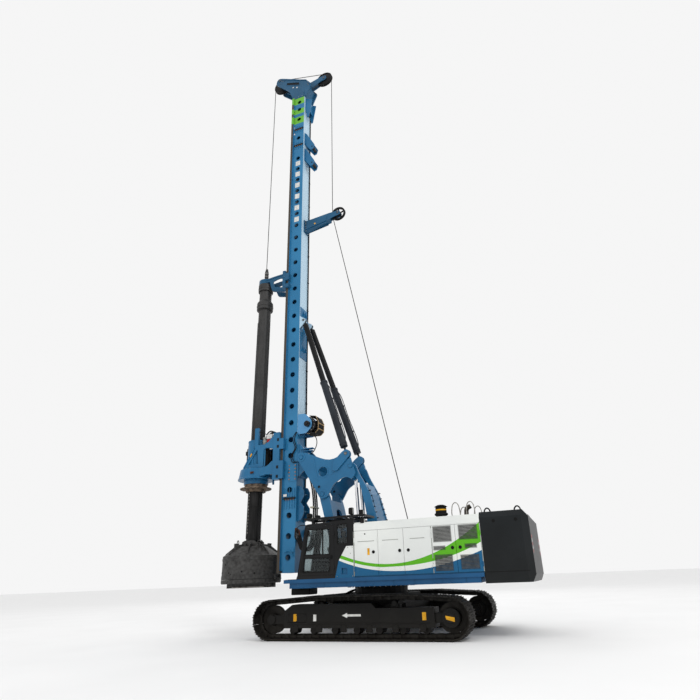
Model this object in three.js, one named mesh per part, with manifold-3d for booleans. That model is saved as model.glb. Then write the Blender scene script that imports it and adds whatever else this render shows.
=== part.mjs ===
// Rotary piling rig: crawler undercarriage, slewing upper, parallel linkage, leader mast,
// rotary drive, telescopic kelly bar and drilling bucket.
// Millimetres, +Z up, +X ahead of the machine, +Y to its left. Heights are measured from the
// ground and every X in this file from the slew axis; the last lines centre the whole rig.
import * as THREE from 'three';
import { mergeVertices } from 'three/addons/utils/BufferGeometryUtils.js';
import Module from 'manifold-3d';

const wasm = await Module();
wasm.setup();

// ---------------------------------------------------------------- driving dimensions
const seat = 0.3; // gap left where two pieces stand on each other
const runGap = 0.6; // running gap of sliding and turning faces
const pinGap = 0.5; // radial gap of a pin in its eye
const pinSides = 12;
const roundSides = 20;
const flatness = 0.01; // faces that differ by less are one face
const cornerSteps = 2; // straight steps that round one corner of an outline

const trackHalfWidth = 2200; // outer edge of the shoes
const shoeWidth = 800;
const trackWheelBase = 5120; // sprocket centre to idler centre
const trackMiddle = 15; // middle of the wheel base, from the slew axis
const trackEndRadius = 510; // shoe tips round the end wheels
const shoeThickness = 50;
const chainDepth = 100; // track links inside the shoes
const chainWidth = 240;
const shoeCount = 58;
const trackRise = 75; // carrier rollers lift the top run

const upperHalfWidth = 1500;
const deckFront = 2510;
const deckRear = -3390;
const deckTop = 1520;
const deckBottom = 1280;
const hoodTop = 2990;
const hoodDoorTop = 2750;
const hoodDoorBottom = 1550;
const hoodWall = 40;
const doorThickness = 40;
const doorGap = 10; // between neighbouring doors
const hoodInner = 640; // inner wall of the side hoods
const counterweightRear = -4670;
const counterweightTop = 3030;
const counterweightBottom = 1260;

const cabInner = 660;
const cabWall = 45;
const cabDoorRear = 870;

const linkageHalf = 550; // arm and link, over their bosses
const plateInner = 560; // deck girders and triangle plates
const plateOuter = 620;
const armFoot = [1100, 1850];
const armHead = [1680, 4040];
const linkHead = [670, 4860];
const linkFoot = [armFoot[0] + linkHead[0] - armHead[0], armFoot[1] + linkHead[1] - armHead[1]];
const luffFoot = [500, 1750];
const luffHead = [660, 4500];
const luffSide = 220; // luffing cylinders, from the middle
const linkagePin = 60;

const mastPivot = [2470, 5320];
const mastRear = 2790;
const mastFront = 3300;
const mastHalf = 340;
const mastBottom = 1730;
const mastTop = 22750;
const mastWall = 25;
const railHalf = 420;
const railInner = 250;
const railFront = 3400;
const holeRadius = 100;
const holeSides = 8;
const holePitch = 615;
const firstHole = 6065;

const stayFoot = [814, 600, 5260];
const stayHead = [2628, 270, 10700];
const stayBarrelRadius = 125;
const stayRodRadius = 100;

const kellyAxis = 4600;
const kellyRadius = 245;
const kellyTop = 12550;
const bucketRadius = 980;
const bucketTop = 2720;
const bucketBottom = 1590;

const headSheave = [4180, mastTop + 1650, 470]; // X, Z and outer radius
const rearSheave = [1880, mastTop + 1050, 400];
const guideSheave = [1250, 15560, 310];
const sheaveHalf = 60;
const mainWinch = [-1450, 2300];
const auxWinch = [2400, 6550];

// ---------------------------------------------------------------- tools for shapes
function solidOf(geometry) {
  const bare = geometry.clone();
  bare.deleteAttribute('normal');
  bare.deleteAttribute('uv');
  const merged = mergeVertices(bare, 1e-4);
  return new wasm.Manifold(new wasm.Mesh({
    numProp: 3,
    vertProperties: new Float32Array(merged.attributes.position.array),
    triVerts: new Uint32Array(merged.index.array),
  }));
}

function geometryOf(solid) {
  const mesh = solid.asOriginal().simplify(flatness).getMesh();
  const geometry = new THREE.BufferGeometry();
  geometry.setAttribute('position', new THREE.BufferAttribute(mesh.vertProperties, 3));
  geometry.setIndex(new THREE.BufferAttribute(mesh.triVerts, 1));
  geometry.computeVertexNormals();
  return geometry;
}

const join = (...solids) => solids.reduce((all, next) => all.add(next));
const cut = (solid, ...tools) => tools.reduce((all, next) => all.subtract(next), solid);
const common = (...solids) => solids.reduce((all, next) => all.intersect(next));

// A box between two opposite corners.
function block(x0, x1, y0, y1, z0, z1) {
  const box = new THREE.BoxGeometry(x1 - x0, y1 - y0, z1 - z0);
  return solidOf(box.translate((x0 + x1) / 2, (y0 + y1) / 2, (z0 + z1) / 2));
}

// The same box on both sides of the middle plane.
const blockPair = (x0, x1, y0, y1, z0, z1) =>
  join(block(x0, x1, y0, y1, z0, z1), block(x0, x1, -y1, -y0, z0, z1));

// A closed outline; a corner with a third number is rounded by about that radius.
function outline(corners) {
  const shape = new THREE.Shape();
  corners.forEach(([x, y, radius = 0], index) => {
    const before = corners[(index + corners.length - 1) % corners.length];
    const after = corners[(index + 1) % corners.length];
    const here = new THREE.Vector2(x, y);
    const towards = (point) => {
      const other = new THREE.Vector2(point[0], point[1]);
      const reach = Math.min(radius, here.distanceTo(other) * 0.49);
      return here.clone().add(other.sub(here).setLength(reach));
    };
    const start = radius ? towards(before) : here;
    if (index === 0) shape.moveTo(start.x, start.y);
    else shape.lineTo(start.x, start.y);
    if (radius) {
      const end = towards(after);
      shape.quadraticCurveTo(x, y, end.x, end.y);
    }
  });
  shape.closePath();
  return shape;
}

// An outline moved inwards by a wall thickness, corner by corner (anticlockwise corners).
function inset(corners, wall) {
  const count = corners.length;
  const edges = corners.map(([x, y], index) => {
    const [nextX, nextY] = corners[(index + 1) % count];
    const length = Math.hypot(nextX - x, nextY - y);
    const normal = [-(nextY - y) / length, (nextX - x) / length];
    return { normal, distance: normal[0] * x + normal[1] * y + wall };
  });
  return corners.map((corner, index) => {
    const a = edges[(index + count - 1) % count];
    const b = edges[index];
    const cross = a.normal[0] * b.normal[1] - a.normal[1] * b.normal[0];
    return [
      (a.distance * b.normal[1] - b.distance * a.normal[1]) / cross,
      (a.normal[0] * b.distance - b.normal[0] * a.distance) / cross,
    ];
  });
}

// An X-Z outline as thick as from y0 to y1.
function plate(corners, y0, y1) {
  const options = { depth: y1 - y0, bevelEnabled: false, curveSegments: cornerSteps };
  const geometry = new THREE.ExtrudeGeometry(outline(corners), options);
  return solidOf(geometry.rotateX(Math.PI / 2).translate(0, y1, 0));
}

const platePair = (corners, y0, y1) => join(plate(corners, y0, y1), plate(corners, -y1, -y0));

// An X-Y outline as tall as from z0 to z1.
function slab(corners, z0, z1) {
  const options = { depth: z1 - z0, bevelEnabled: false, curveSegments: cornerSteps };
  return solidOf(new THREE.ExtrudeGeometry(outline(corners), options).translate(0, 0, z0));
}

// A Y-Z outline as long as from x0 to x1.
function bar(corners, x0, x1) {
  const options = { depth: x1 - x0, bevelEnabled: false, curveSegments: cornerSteps };
  const geometry = new THREE.ExtrudeGeometry(outline(corners), options);
  return solidOf(geometry.rotateX(Math.PI / 2).rotateZ(Math.PI / 2).translate(x0, 0, 0));
}

// A round bar across the machine, at (x, z), from y0 to y1.
function pinY([x, z], radius, y0, y1, segments = pinSides) {
  const geometry = new THREE.CylinderGeometry(radius, radius, y1 - y0, segments);
  return solidOf(geometry.translate(x, (y0 + y1) / 2, z));
}

const pinPair = (place, radius, y0, y1, segments) =>
  join(pinY(place, radius, y0, y1, segments), pinY(place, radius, -y1, -y0, segments));

// A round bar between two points in space.
function rod(from, to, radius, segments = roundSides, turn = 0) {
  const start = new THREE.Vector3(...from);
  const end = new THREE.Vector3(...to);
  const direction = end.clone().sub(start);
  const geometry = new THREE.CylinderGeometry(radius, radius, direction.length(), segments);
  geometry.rotateY(turn);
  const up = new THREE.Vector3(0, 1, 0);
  geometry.applyQuaternion(new THREE.Quaternion().setFromUnitVectors(up, direction.normalize()));
  geometry.translate(...start.add(end).multiplyScalar(0.5).toArray());
  return solidOf(geometry);
}

// The bore in which a round rod slides, between two points.
const rodBore = (from, to, rodRadius) =>
  rod(from, to, boreFor(rodRadius, roundSides), roundSides, Math.PI / roundSides);

const column = (x, y, radius, z0, z1, segments) => rod([x, y, z0], [x, y, z1], radius, segments);

// The bore in which a many-sided pin turns with its gap kept all round: its flats lie
// over the pin's corners.
const boreFor = (pinRadius, sides) => (pinRadius + pinGap) / Math.cos(Math.PI / sides);

function boreY([x, z], pinRadius, y0, y1, sides = pinSides) {
  const radius = boreFor(pinRadius, sides);
  const geometry = new THREE.CylinderGeometry(radius, radius, y1 - y0, sides);
  geometry.rotateY(Math.PI / sides);
  return solidOf(geometry.translate(x, (y0 + y1) / 2, z));
}

// A body of revolution about the upright axis through (x, 0), from its radius-height profile.
function turned(x, profile, segments = roundSides) {
  const points = profile.map(([radius, z]) => new THREE.Vector2(radius, z));
  const geometry = new THREE.LatheGeometry(points, segments);
  return solidOf(geometry.rotateX(Math.PI / 2).translate(x, 0, 0));
}

// A body of revolution about a line across the machine, from its radius-width profile.
function turnedY([x, z], y, profile, turn = 0) {
  const points = profile.map(([radius, width]) => new THREE.Vector2(radius, width));
  const geometry = new THREE.LatheGeometry(points, roundSides, turn);
  return solidOf(geometry.translate(x, y, z));
}

const mirrored = (solid) => solid.mirror([0, 1, 0]);
const along = (from, to, share) => from.map((value, axis) => value + (to[axis] - value) * share);

const rig = new THREE.Group();

// Names a finished solid, gives it its finish and stands it in the rig.
function piece(name, solid, finish) {
  const mesh = new THREE.Mesh(geometryOf(solid), finish);
  mesh.name = name;
  rig.add(mesh);
}

function finish(color, roughness, metalness) {
  return () => new THREE.MeshStandardMaterial({ color, roughness, metalness });
}

const darkSteel = finish(0x1b1b1a, 0.8, 0.5);
const anthracite = finish(0x26292c, 0.55, 0.2);
const deckBlue = finish(0x1f5f9c, 0.45, 0.2);
const mastBlue = finish(0x3a7aad, 0.45, 0.2);
const hoodWhite = finish(0xe8eae6, 0.4, 0.1);
const wornSteel = finish(0x3a3936, 0.6, 0.8);
const slate = finish(0x2d323a, 0.5, 0.3);
const chrome = finish(0xc8ccd0, 0.15, 1);
const glass = finish(0x55606a, 0.05, 0);
const seatFabric = finish(0x202122, 0.9, 0);
const castSteel = finish(0x4c4f52, 0.6, 0.6);

// ---------------------------------------------------------------- crawler tracks
const sprocketX = trackMiddle - trackWheelBase / 2;
const idlerX = trackMiddle + trackWheelBase / 2;
const trackCentre = trackHalfWidth - shoeWidth / 2;
const endWheelRadius = trackEndRadius - shoeThickness - chainDepth;

// The loop at a depth below the shoe tips, as one curve: round both ends, straight below,
// lifted between the carrier rollers above.
function trackLoop(depth) {
  const radius = trackEndRadius - depth;
  const rise = trackRise;
  const shoulder = trackWheelBase * 0.26;
  const loop = new THREE.Path();
  loop.moveTo(sprocketX, trackEndRadius - radius);
  loop.lineTo(idlerX, trackEndRadius - radius);
  loop.absarc(idlerX, trackEndRadius, radius, -Math.PI / 2, Math.PI / 2, false);
  loop.lineTo(trackMiddle + shoulder, trackEndRadius + radius + rise);
  loop.lineTo(trackMiddle - shoulder, trackEndRadius + radius + rise);
  loop.lineTo(sprocketX, trackEndRadius + radius);
  loop.absarc(sprocketX, trackEndRadius, radius, Math.PI / 2, Math.PI * 1.5, false);
  return loop;
}

const notchShare = 0.1; // of the shoe pitch

// Shoes: a flat pad each, parted by a notch that reaches towards the chain.
function shoeOutline() {
  const tips = trackLoop(0);
  const roots = trackLoop(shoeThickness * 0.6);
  const points = [];
  for (let shoe = 0; shoe < shoeCount; shoe += 1) {
    const at = (share) => (shoe + share) / shoeCount;
    points.push(tips.getPointAt(at(0)));
    points.push(tips.getPointAt(at(1 - notchShare)));
    points.push(roots.getPointAt(at(1 - notchShare / 2)));
  }
  return points.map((point) => [point.x, point.y]);
}

function ringOf(outer, inner, y0, y1) {
  const shape = new THREE.Shape(outer);
  shape.holes.push(new THREE.Path(inner));
  const geometry = new THREE.ExtrudeGeometry(shape, { depth: y1 - y0, bevelEnabled: false });
  return solidOf(geometry.rotateX(Math.PI / 2).translate(0, y1, 0));
}

const loopPoints = (depth) => trackLoop(depth).getPoints(roundSides / 4).slice(0, -1);

function track() {
  const half = chainWidth / 2;
  const tips = shoeOutline().map(([x, z]) => new THREE.Vector2(x, z));
  const shoes = ringOf(tips, loopPoints(shoeThickness), trackHalfWidth - shoeWidth, trackHalfWidth);
  const seatDepth = shoeThickness * 0.8;
  const chain = ringOf(loopPoints(seatDepth), loopPoints(shoeThickness + chainDepth),
    trackCentre - half, trackCentre + half);
  return join(shoes, chain);
}

// Side frame: a stepped box beam with its rollers below and above and a stub axle at each end.
const frameBottom = 300;
const frameTop = 880;
const frameInner = 1550;
const frameOuter = 2050;
const rollerRadius = 95;
const rollerCount = 7;
const carrierRadius = 55;
const axleRadius = 70;

function trackFrame() {
  const front = idlerX - endWheelRadius - 60;
  const rear = sprocketX + endWheelRadius + 60;
  const step = trackMiddle - 450;
  const beam = plate([
    [rear, frameBottom], [front, frameBottom], [front, frameTop - 160],
    [front - 250, frameTop], [step, frameTop], [step - 120, frameTop - 120],
    [rear, frameTop - 120],
  ], frameInner, frameOuter);
  const rollerFloor = shoeThickness + chainDepth + runGap;
  const rollers = [];
  for (let index = 0; index < rollerCount; index += 1) {
    const x = rear + 250 + ((front - rear - 500) * index) / (rollerCount - 1);
    const place = [x, rollerFloor + rollerRadius];
    rollers.push(pinY(place, rollerRadius, trackCentre - 180, trackCentre + 180, 12));
  }
  const topRun = 2 * trackEndRadius + trackRise - shoeThickness - chainDepth;
  const carriers = [1, -1].map((side) => {
    const x = trackMiddle + side * trackWheelBase * 0.24;
    const foot = block(x - 60, x + 60, frameInner + 100, trackCentre - 130, frameTop - 150,
      topRun - 90);
    const place = [x, topRun - runGap - carrierRadius];
    return join(foot, pinY(place, carrierRadius, frameInner + 110, trackCentre + 90, 12));
  });
  const forks = [[idlerX, front, 1], [sprocketX, rear, -1]].map(([x, end, side]) => {
    const arm = [trackEndRadius - 110, trackEndRadius + 110];
    const low = Math.min(x - side * 60, end) - (side < 0 ? 90 : 30);
    const high = Math.max(x - side * 60, end) + (side > 0 ? 90 : 30);
    const cheeks = join(
      block(low, high, trackCentre - 190, trackCentre - 130, ...arm),
      block(low, high, trackCentre + 130, trackCentre + 190, ...arm),
    );
    return join(cheeks, pinY([x, trackEndRadius], axleRadius, trackCentre - 190,
      trackCentre + 190, roundSides));
  });
  return join(beam, ...rollers, ...carriers, ...forks);
}

function endWheel(x) {
  const reach = endWheelRadius - runGap;
  const bore = boreFor(axleRadius, roundSides);
  return turnedY([x, trackEndRadius], trackCentre, [
    [bore, -120], [150, -120], [170, -55], [reach, -55], [reach, 55], [170, 55],
    [150, 120], [bore, 120], [bore, -120],
  ]);
}

const leftTrack = track();
const leftFrame = trackFrame();
piece('track_left', leftTrack, darkSteel());
piece('track_right', mirrored(leftTrack), darkSteel());
piece('track_frame_left', leftFrame, darkSteel());
piece('track_frame_right', mirrored(leftFrame), darkSteel());
piece('sprocket_left', endWheel(sprocketX), darkSteel());
piece('sprocket_right', mirrored(endWheel(sprocketX)), darkSteel());
piece('idler_left', endWheel(idlerX), darkSteel());
piece('idler_right', mirrored(endWheel(idlerX)), darkSteel());

// ---------------------------------------------------------------- carbody and slew ring
const ringRadius = 800;

function carbody() {
  const reach = frameInner - seat;
  const centre = block(-950, 950, -900, 900, 480, 1060);
  const beams = [1, -1].map((side) => join(
    block(side * 850 - 210, side * 850 + 210, -reach, reach, 420, 820),
    block(side * 850 - 150, side * 850 + 150, -1300, 1300, 800, 960),
  ));
  const ring = column(0, 0, ringRadius, 1040, deckBottom - runGap, 28);
  const swivelPassage = column(0, 0, 200, 300, 1400, 16);
  return cut(join(centre, ...beams, ring), swivelPassage);
}
piece('carbody', carbody(), darkSteel());

// ---------------------------------------------------------------- deck of the upper
const girderLine = [
  [1420, deckTop - 20], [1290, 2030, 130], [920, 2030, 130], [640, 1850, 120],
  [linkFoot[0] + 190, linkFoot[1] - 260, 80], [linkFoot[0] + 130, linkFoot[1] + 160, 120],
  [linkFoot[0] - 130, linkFoot[1] + 160, 120], [linkFoot[0] - 260, linkFoot[1] - 400, 150],
  [mainWinch[0] + 420, 1900, 200], [mainWinch[0] + 190, mainWinch[1] + 220, 120],
  [mainWinch[0] - 190, mainWinch[1] + 220, 120], [mainWinch[0] - 420, 1800, 150],
  [mainWinch[0] - 500, deckTop - 20],
];
const winchShaft = 70;
const luffPin = 45;
const luffEyeHalf = 60;
const lugThickness = 30;
const lugGap = 5;

// The pair of lugs either side of one luffing cylinder's eye, between two outlines.
function luffLugs(corners) {
  const inner = luffEyeHalf + lugGap;
  const lugs = [];
  [luffSide, -luffSide].forEach((middle) => {
    lugs.push(plate(corners, middle + inner, middle + inner + lugThickness));
    lugs.push(plate(corners, middle - inner - lugThickness, middle - inner));
  });
  return join(...lugs);
}

function turntable() {
  const half = upperHalfWidth;
  const top = block(deckRear, deckFront, -half, half, deckTop - 100, deckTop);
  const sides = blockPair(deckRear + 100, deckFront - 180, half - 160, half - 30, deckBottom,
    deckTop - 80);
  const belly = block(deckRear + 200, deckFront - 400, -1000, 1000, deckBottom, deckTop - 80);
  const girders = platePair(girderLine, plateInner, plateOuter);
  const armPins = pinPair(armFoot, linkagePin, linkageHalf - 150, plateOuter + 15);
  const linkPins = pinPair(linkFoot, linkagePin, linkageHalf - 120, plateOuter + 15);
  const lugs = luffLugs([
    [luffFoot[0] - 170, deckTop - 20], [luffFoot[0] + 170, deckTop - 20],
    [luffFoot[0] + 80, luffFoot[1] + 80, 70], [luffFoot[0] - 80, luffFoot[1] + 80, 70],
  ]);
  const pinReach = luffEyeHalf + lugGap + lugThickness;
  const luffPins = pinPair(luffFoot, luffPin, luffSide - pinReach, luffSide + pinReach);
  const winchBores = boreY(mainWinch, winchShaft, -plateOuter - 50, plateOuter + 50, roundSides);
  const frame = join(top, sides, belly, girders, armPins, linkPins, lugs, luffPins);
  return cut(frame, winchBores);
}
piece('turntable', turntable(), deckBlue());

// ---------------------------------------------------------------- main winch
function winchDrum(place, drumRadius, flangeRadius, half, shaftRadius, shaftHalf) {
  return turnedY(place, 0, [
    [0, -shaftHalf], [shaftRadius, -shaftHalf], [shaftRadius, -half], [flangeRadius, -half],
    [flangeRadius, -half + 30], [drumRadius, -half + 30], [drumRadius, half - 30],
    [flangeRadius, half - 30], [flangeRadius, half], [shaftRadius, half],
    [shaftRadius, shaftHalf], [0, shaftHalf],
  ]);
}
piece('main_winch', winchDrum(mainWinch, 300, 440, plateInner - 20, winchShaft, plateOuter),
  castSteel());

// ---------------------------------------------------------------- hoods and their doors
const hingeRadius = 12;
const hingeStand = hingeRadius + 1; // hinge pin, off the doors' outer face
const hingeHeight = 60;
const leafHalf = 2;
const doorFace = upperHalfWidth;
const hoodFace = doorFace - doorThickness - 5; // outer face of the hood behind the doors

// Fixed half of a door's two hinges, on the left side: a leaf through the gap between doors.
function fixedHinges(x, lift) {
  return join(...[hoodDoorBottom + 180, hoodDoorTop - 250].map((height) => {
    const z = height + lift;
    return join(
      block(x - leafHalf, x + leafHalf, hoodFace - 10, doorFace + hingeStand, z - hingeHeight, z),
      column(x, doorFace + hingeStand, hingeRadius, z - hingeHeight, z, 10),
    );
  }));
}

// A plain door on the left side between two seams, with its half of both hinges.
function sideDoor({ front, rear, hinge, lift = 0 }) {
  const half = doorGap / 2;
  const leaf = block(rear + half, front - half, doorFace - doorThickness, doorFace,
    hoodDoorBottom, hoodDoorTop);
  const x = hinge === 'front' ? front : rear;
  const reach = hinge === 'front' ? [x - 45, x] : [x, x + 45];
  const halves = [hoodDoorBottom + 180, hoodDoorTop - 250].map((height) => {
    const z = height + lift + pinGap;
    return join(
      column(x, doorFace + hingeStand, hingeRadius, z, z + hingeHeight, 10),
      block(...reach, doorFace - 1, doorFace + 6, z, z + hingeHeight),
    );
  });
  return join(leaf, ...halves);
}

const hingeOf = ({ front, rear, hinge }) => (hinge === 'front' ? front : rear);

// A hood over y from inner to the doors' face: roof over recessed walls, open underneath.
function hood(front, rear, inner, doors, bothSides) {
  const outerLow = bothSides ? -doorFace : inner;
  const wallLow = bothSides ? -hoodFace : inner;
  const hollowLow = wallLow + hoodWall;
  const roof = block(rear, front, outerLow, doorFace, hoodDoorTop + 8, hoodTop - 40);
  const crown = block(rear, front, bothSides ? outerLow + 40 : inner, doorFace - 40,
    hoodTop - 60, hoodTop);
  const walls = block(rear, front, wallLow, hoodFace, deckTop + seat, hoodDoorTop + 20);
  const hollow = block(rear + hoodWall, front - hoodWall, hollowLow, hoodFace - hoodWall,
    deckTop - 50, hoodTop - 60);
  const doorway = (door) => block(Math.max(door.rear, rear) + 50, Math.min(door.front, front) - 50,
    hoodFace - hoodWall - 20, hoodFace + 20, hoodDoorBottom + 50, hoodDoorTop - 50);
  const sides = bothSides ? [(solid) => solid, mirrored] : [(solid) => solid];
  const doorways = sides.flatMap((side) => doors.map((door) => side(doorway(door))));
  const hinges = sides.flatMap((side) => doors.map((door) =>
    side(fixedHinges(hingeOf(door), door.lift ?? 0))));
  return join(cut(join(roof, crown, walls), hollow, ...doorways), ...hinges);
}

const hoodFront = 240;
const hoodSplit = -2060; // side hoods end and the engine hood starts
const hoodJoint = 0.6; // between the hoods
const engineRear = deckRear - 15;
const seamShift = 3; // hinge lines either side of the joint between the hoods
const hingeLift = 130; // keeps the two hinges at that joint one above the other
const engineFront = hoodSplit - hoodJoint;

const frontDoors = [
  { front: hoodFront - 5, rear: -490, hinge: 'front' },
  { front: -490, rear: -1250, hinge: 'front' },
  { front: -1250, rear: hoodSplit + seamShift, hinge: 'rear' },
];
const rightDoors = [
  { front: hoodFront - 5, rear: -905, hinge: 'front' },
  { front: -905, rear: hoodSplit + seamShift, hinge: 'rear' },
];
const engineDoors = [
  { front: engineFront - seamShift, rear: -2720, hinge: 'front', lift: hingeLift },
  { front: -2720, rear: engineRear + 5, hinge: 'rear' },
];

piece('hood_left', hood(hoodFront, hoodSplit, hoodInner, frontDoors, false), hoodWhite());
piece('hood_right', mirrored(hood(hoodFront, hoodSplit, hoodInner, rightDoors, false)),
  hoodWhite());
piece('engine_hood', hood(engineFront, engineRear, 0, engineDoors, true), hoodWhite());
[...frontDoors, ...engineDoors].forEach((door, index) =>
  piece(`hood_door_left_${index + 1}`, sideDoor(door), hoodWhite()));
[...rightDoors, ...engineDoors].forEach((door, index) =>
  piece(`hood_door_right_${index + 1}`, mirrored(sideDoor(door)), hoodWhite()));
piece('engine_block', block(-3200, -2250, -700, 700, deckTop + seat, 2550), castSteel());

// ---------------------------------------------------------------- counterweight
function counterweight() {
  const front = engineRear - seat;
  const rear = counterweightRear;
  const half = upperHalfWidth;
  const bottom = counterweightBottom;
  const top = counterweightTop;
  const plan = slab([
    [front, -half], [front, half], [rear + 170, half], [rear, half - 170],
    [rear, -half + 170], [rear + 170, -half],
  ].reverse(), bottom, top);
  const side = plate([
    [rear, bottom + 180], [rear + 90, bottom], [front, bottom], [front, top],
    [rear + 130, top], [rear, top - 180],
  ], -half, half);
  const section = bar([
    [-half, bottom], [half, bottom], [half, top - 150], [half - 110, top],
    [-half + 110, top], [-half, top - 150],
  ], rear, front);
  return common(plan, side, section);
}
piece('counterweight', counterweight(), anthracite());

// ---------------------------------------------------------------- cab
const cabProfile = [
  [850, deckTop + seat], [2100, deckTop + seat], [2060, 1620], [1820, 3020], [1730, 3040],
  [310, 3100], [250, 3085], [250, 2365], [490, 2365], [740, 1970],
];
const cabDoorLine = [
  [cabDoorRear, 1610], [1985, 1610], [1800, 2960], [cabDoorRear, 2990],
];
const cabDoorGap = 6;

// The line of the front pillar, moved back from the outer face.
function pillarX(z, back) {
  const [low, high] = [cabProfile[2], cabProfile[3]];
  return low[0] + ((z - low[1]) / (high[1] - low[1])) * (high[0] - low[0]) - back;
}

function cabShell() {
  const outer = plate(cabProfile, cabInner, upperHalfWidth);
  const room = plate(inset(cabProfile, cabWall), cabInner + cabWall, upperHalfWidth - cabWall);
  const doorway = plate(cabDoorLine, upperHalfWidth - cabWall - 10, upperHalfWidth + 10);
  const windscreen = plate([
    [pillarX(1760, 120), 1760], [pillarX(1760, -60), 1760], [pillarX(2950, -60), 2950],
    [pillarX(2950, 120), 2950],
  ], cabInner + 70, upperHalfWidth - 70);
  const rightWindow = plate([
    [560, 2450, 40], [900, 2080, 40], [1780, 2080, 40], [1660, 2940, 40], [560, 2960, 40],
  ], cabInner - 10, cabInner + cabWall + 10);
  const quarterWindow = plate([
    [450, 2440, 40], [770, 2440, 40], [770, 2970, 40], [450, 2985, 40],
  ], upperHalfWidth - cabWall - 10, upperHalfWidth + 10);
  const rearWindow = block(240, 310, cabInner + 100, upperHalfWidth - 100, 2480, 2960);
  const hinges = [1800, 2700].map((z) => join(
    block(cabDoorRear - 40, cabDoorRear + 2, doorFace - 6, doorFace + 6, z - hingeHeight, z),
    column(cabDoorRear, doorFace + hingeStand, hingeRadius, z - hingeHeight, z, 10),
  ));
  const shell = cut(outer, room, doorway, windscreen, rightWindow, quarterWindow, rearWindow);
  return join(shell, ...hinges);
}

function cabDoor() {
  const leaf = plate(inset(cabDoorLine, cabDoorGap), upperHalfWidth - cabWall, upperHalfWidth);
  const upperPane = plate([
    [1020, 2170, 40], [1810, 2170, 40], [1730, 2880, 40], [1020, 2880, 40],
  ], upperHalfWidth - 100, upperHalfWidth + 10);
  const lowerPane = plate([
    [1020, 1700, 40], [1880, 1700, 40], [1825, 2080, 40], [1020, 2080, 40],
  ], upperHalfWidth - 100, upperHalfWidth + 10);
  const hinges = [1800, 2700].map((height) => {
    const z = height + pinGap;
    return join(
      column(cabDoorRear, doorFace + hingeStand, hingeRadius, z, z + hingeHeight, 10),
      block(cabDoorRear + 3, cabDoorRear + 60, doorFace - 1, doorFace + 6, z, z + hingeHeight),
    );
  });
  return join(cut(leaf, upperPane, lowerPane), ...hinges);
}

function windscreen() {
  const low = 1760 + seat;
  const high = 2950 - seat;
  return plate([
    [pillarX(low, 30), low], [pillarX(low, 16), low], [pillarX(high, 16), high],
    [pillarX(high, 30), high],
  ], cabInner + 70 + seat, upperHalfWidth - 70 - seat);
}

function operatorSeat() {
  const floor = deckTop + seat + cabWall + seat;
  const middle = (cabInner + upperHalfWidth) / 2;
  const half = (upperHalfWidth - cabInner) / 2 - cabWall - 30; // leaves room at both walls
  const armrest = 45;
  const base = block(900, 1250, middle - half + 165, middle + half - 165, floor, 1950);
  const cushion = plate([
    [820, 1940, 30], [1390, 1960, 60], [1390, 2080, 60], [820, 2060, 30],
  ], middle - half + 95, middle + half - 95);
  const back = plate([
    [760, 2030, 40], [930, 2030, 40], [830, 2830, 60], [680, 2830, 60],
  ], middle - half + 115, middle + half - 115);
  const consoles = [1, -1].map((side) => block(900, 1500, middle + side * (half - armrest)
    - armrest, middle + side * (half - armrest) + armrest, 1960, 2190));
  const brackets = block(1000, 1150, middle - half + 25, middle + half - 25, 1965, 2000);
  return join(base, cushion, back, brackets, ...consoles);
}

function roofGuard() {
  const low = 3160;
  const high = 3220;
  return join(
    block(-110, 1870, cabInner + 10, cabInner + 60, low, high),
    block(-110, 1870, upperHalfWidth - 60, upperHalfWidth - 10, low, high),
    ...[-110, 380, 870, 1360, 1820].map((x) =>
      block(x, x + 50, cabInner + 10, upperHalfWidth - 10, low, high)),
    ...[450, 1550].flatMap((x) => [cabInner + 10, upperHalfWidth - 60].map((y) => {
      const slope = (3040 - 3100) / (1730 - 310);
      const roofAt = (at) => 3100 + (at - 310) * slope + seat;
      return plate([[x, roofAt(x)], [x + 60, roofAt(x + 60)], [x + 60, low + 10],
        [x, low + 10]], y, y + 50);
    })),
  );
}

// Closes the side under the cut corner of the cab, with a boarding step let into it.
function sidePanel() {
  const low = deckTop + seat;
  const face = upperHalfWidth - 6; // behind the hinges of the first door
  const panel = plate([
    [hoodFront + 1, low], [849, low], [739, 1969.6], [489.5, 2364.5], [hoodFront + 1, 2364.5],
  ], face - 60, face);
  return cut(panel, block(470, 650, face - 40, face + 10, 1610, 1790));
}

piece('side_panel', sidePanel(), hoodWhite());
piece('cab_shell', cabShell(), anthracite());
piece('cab_door', cabDoor(), anthracite());
piece('windscreen', windscreen(), glass());
piece('operator_seat', operatorSeat(), seatFabric());
piece('roof_guard', roofGuard(), darkSteel());

// ---------------------------------------------------------------- tank and step on the right
function fuelTank() {
  const inner = cabInner;
  const outer = upperHalfWidth;
  const tank = plate([
    [280, deckTop + seat], [1560, deckTop + seat], [1560, 2420, 60], [1500, 2480, 40],
    [280, 2480, 40],
  ], -outer, -inner);
  const steps = [1900, 2190].map((z, index) =>
    block(1550, 1920 - index * 140, -outer + 80, -inner - 80, z - 330, z - 290));
  const strings = [-outer + 60, -inner - 100].map((y) => plate([
    [1540, deckTop + seat], [1960, deckTop + seat], [1960, 1640], [1780, 1930], [1540, 1930],
  ], y, y + 40));
  return join(tank, ...steps, ...strings);
}
piece('fuel_tank', fuelTank(), hoodWhite());

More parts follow.
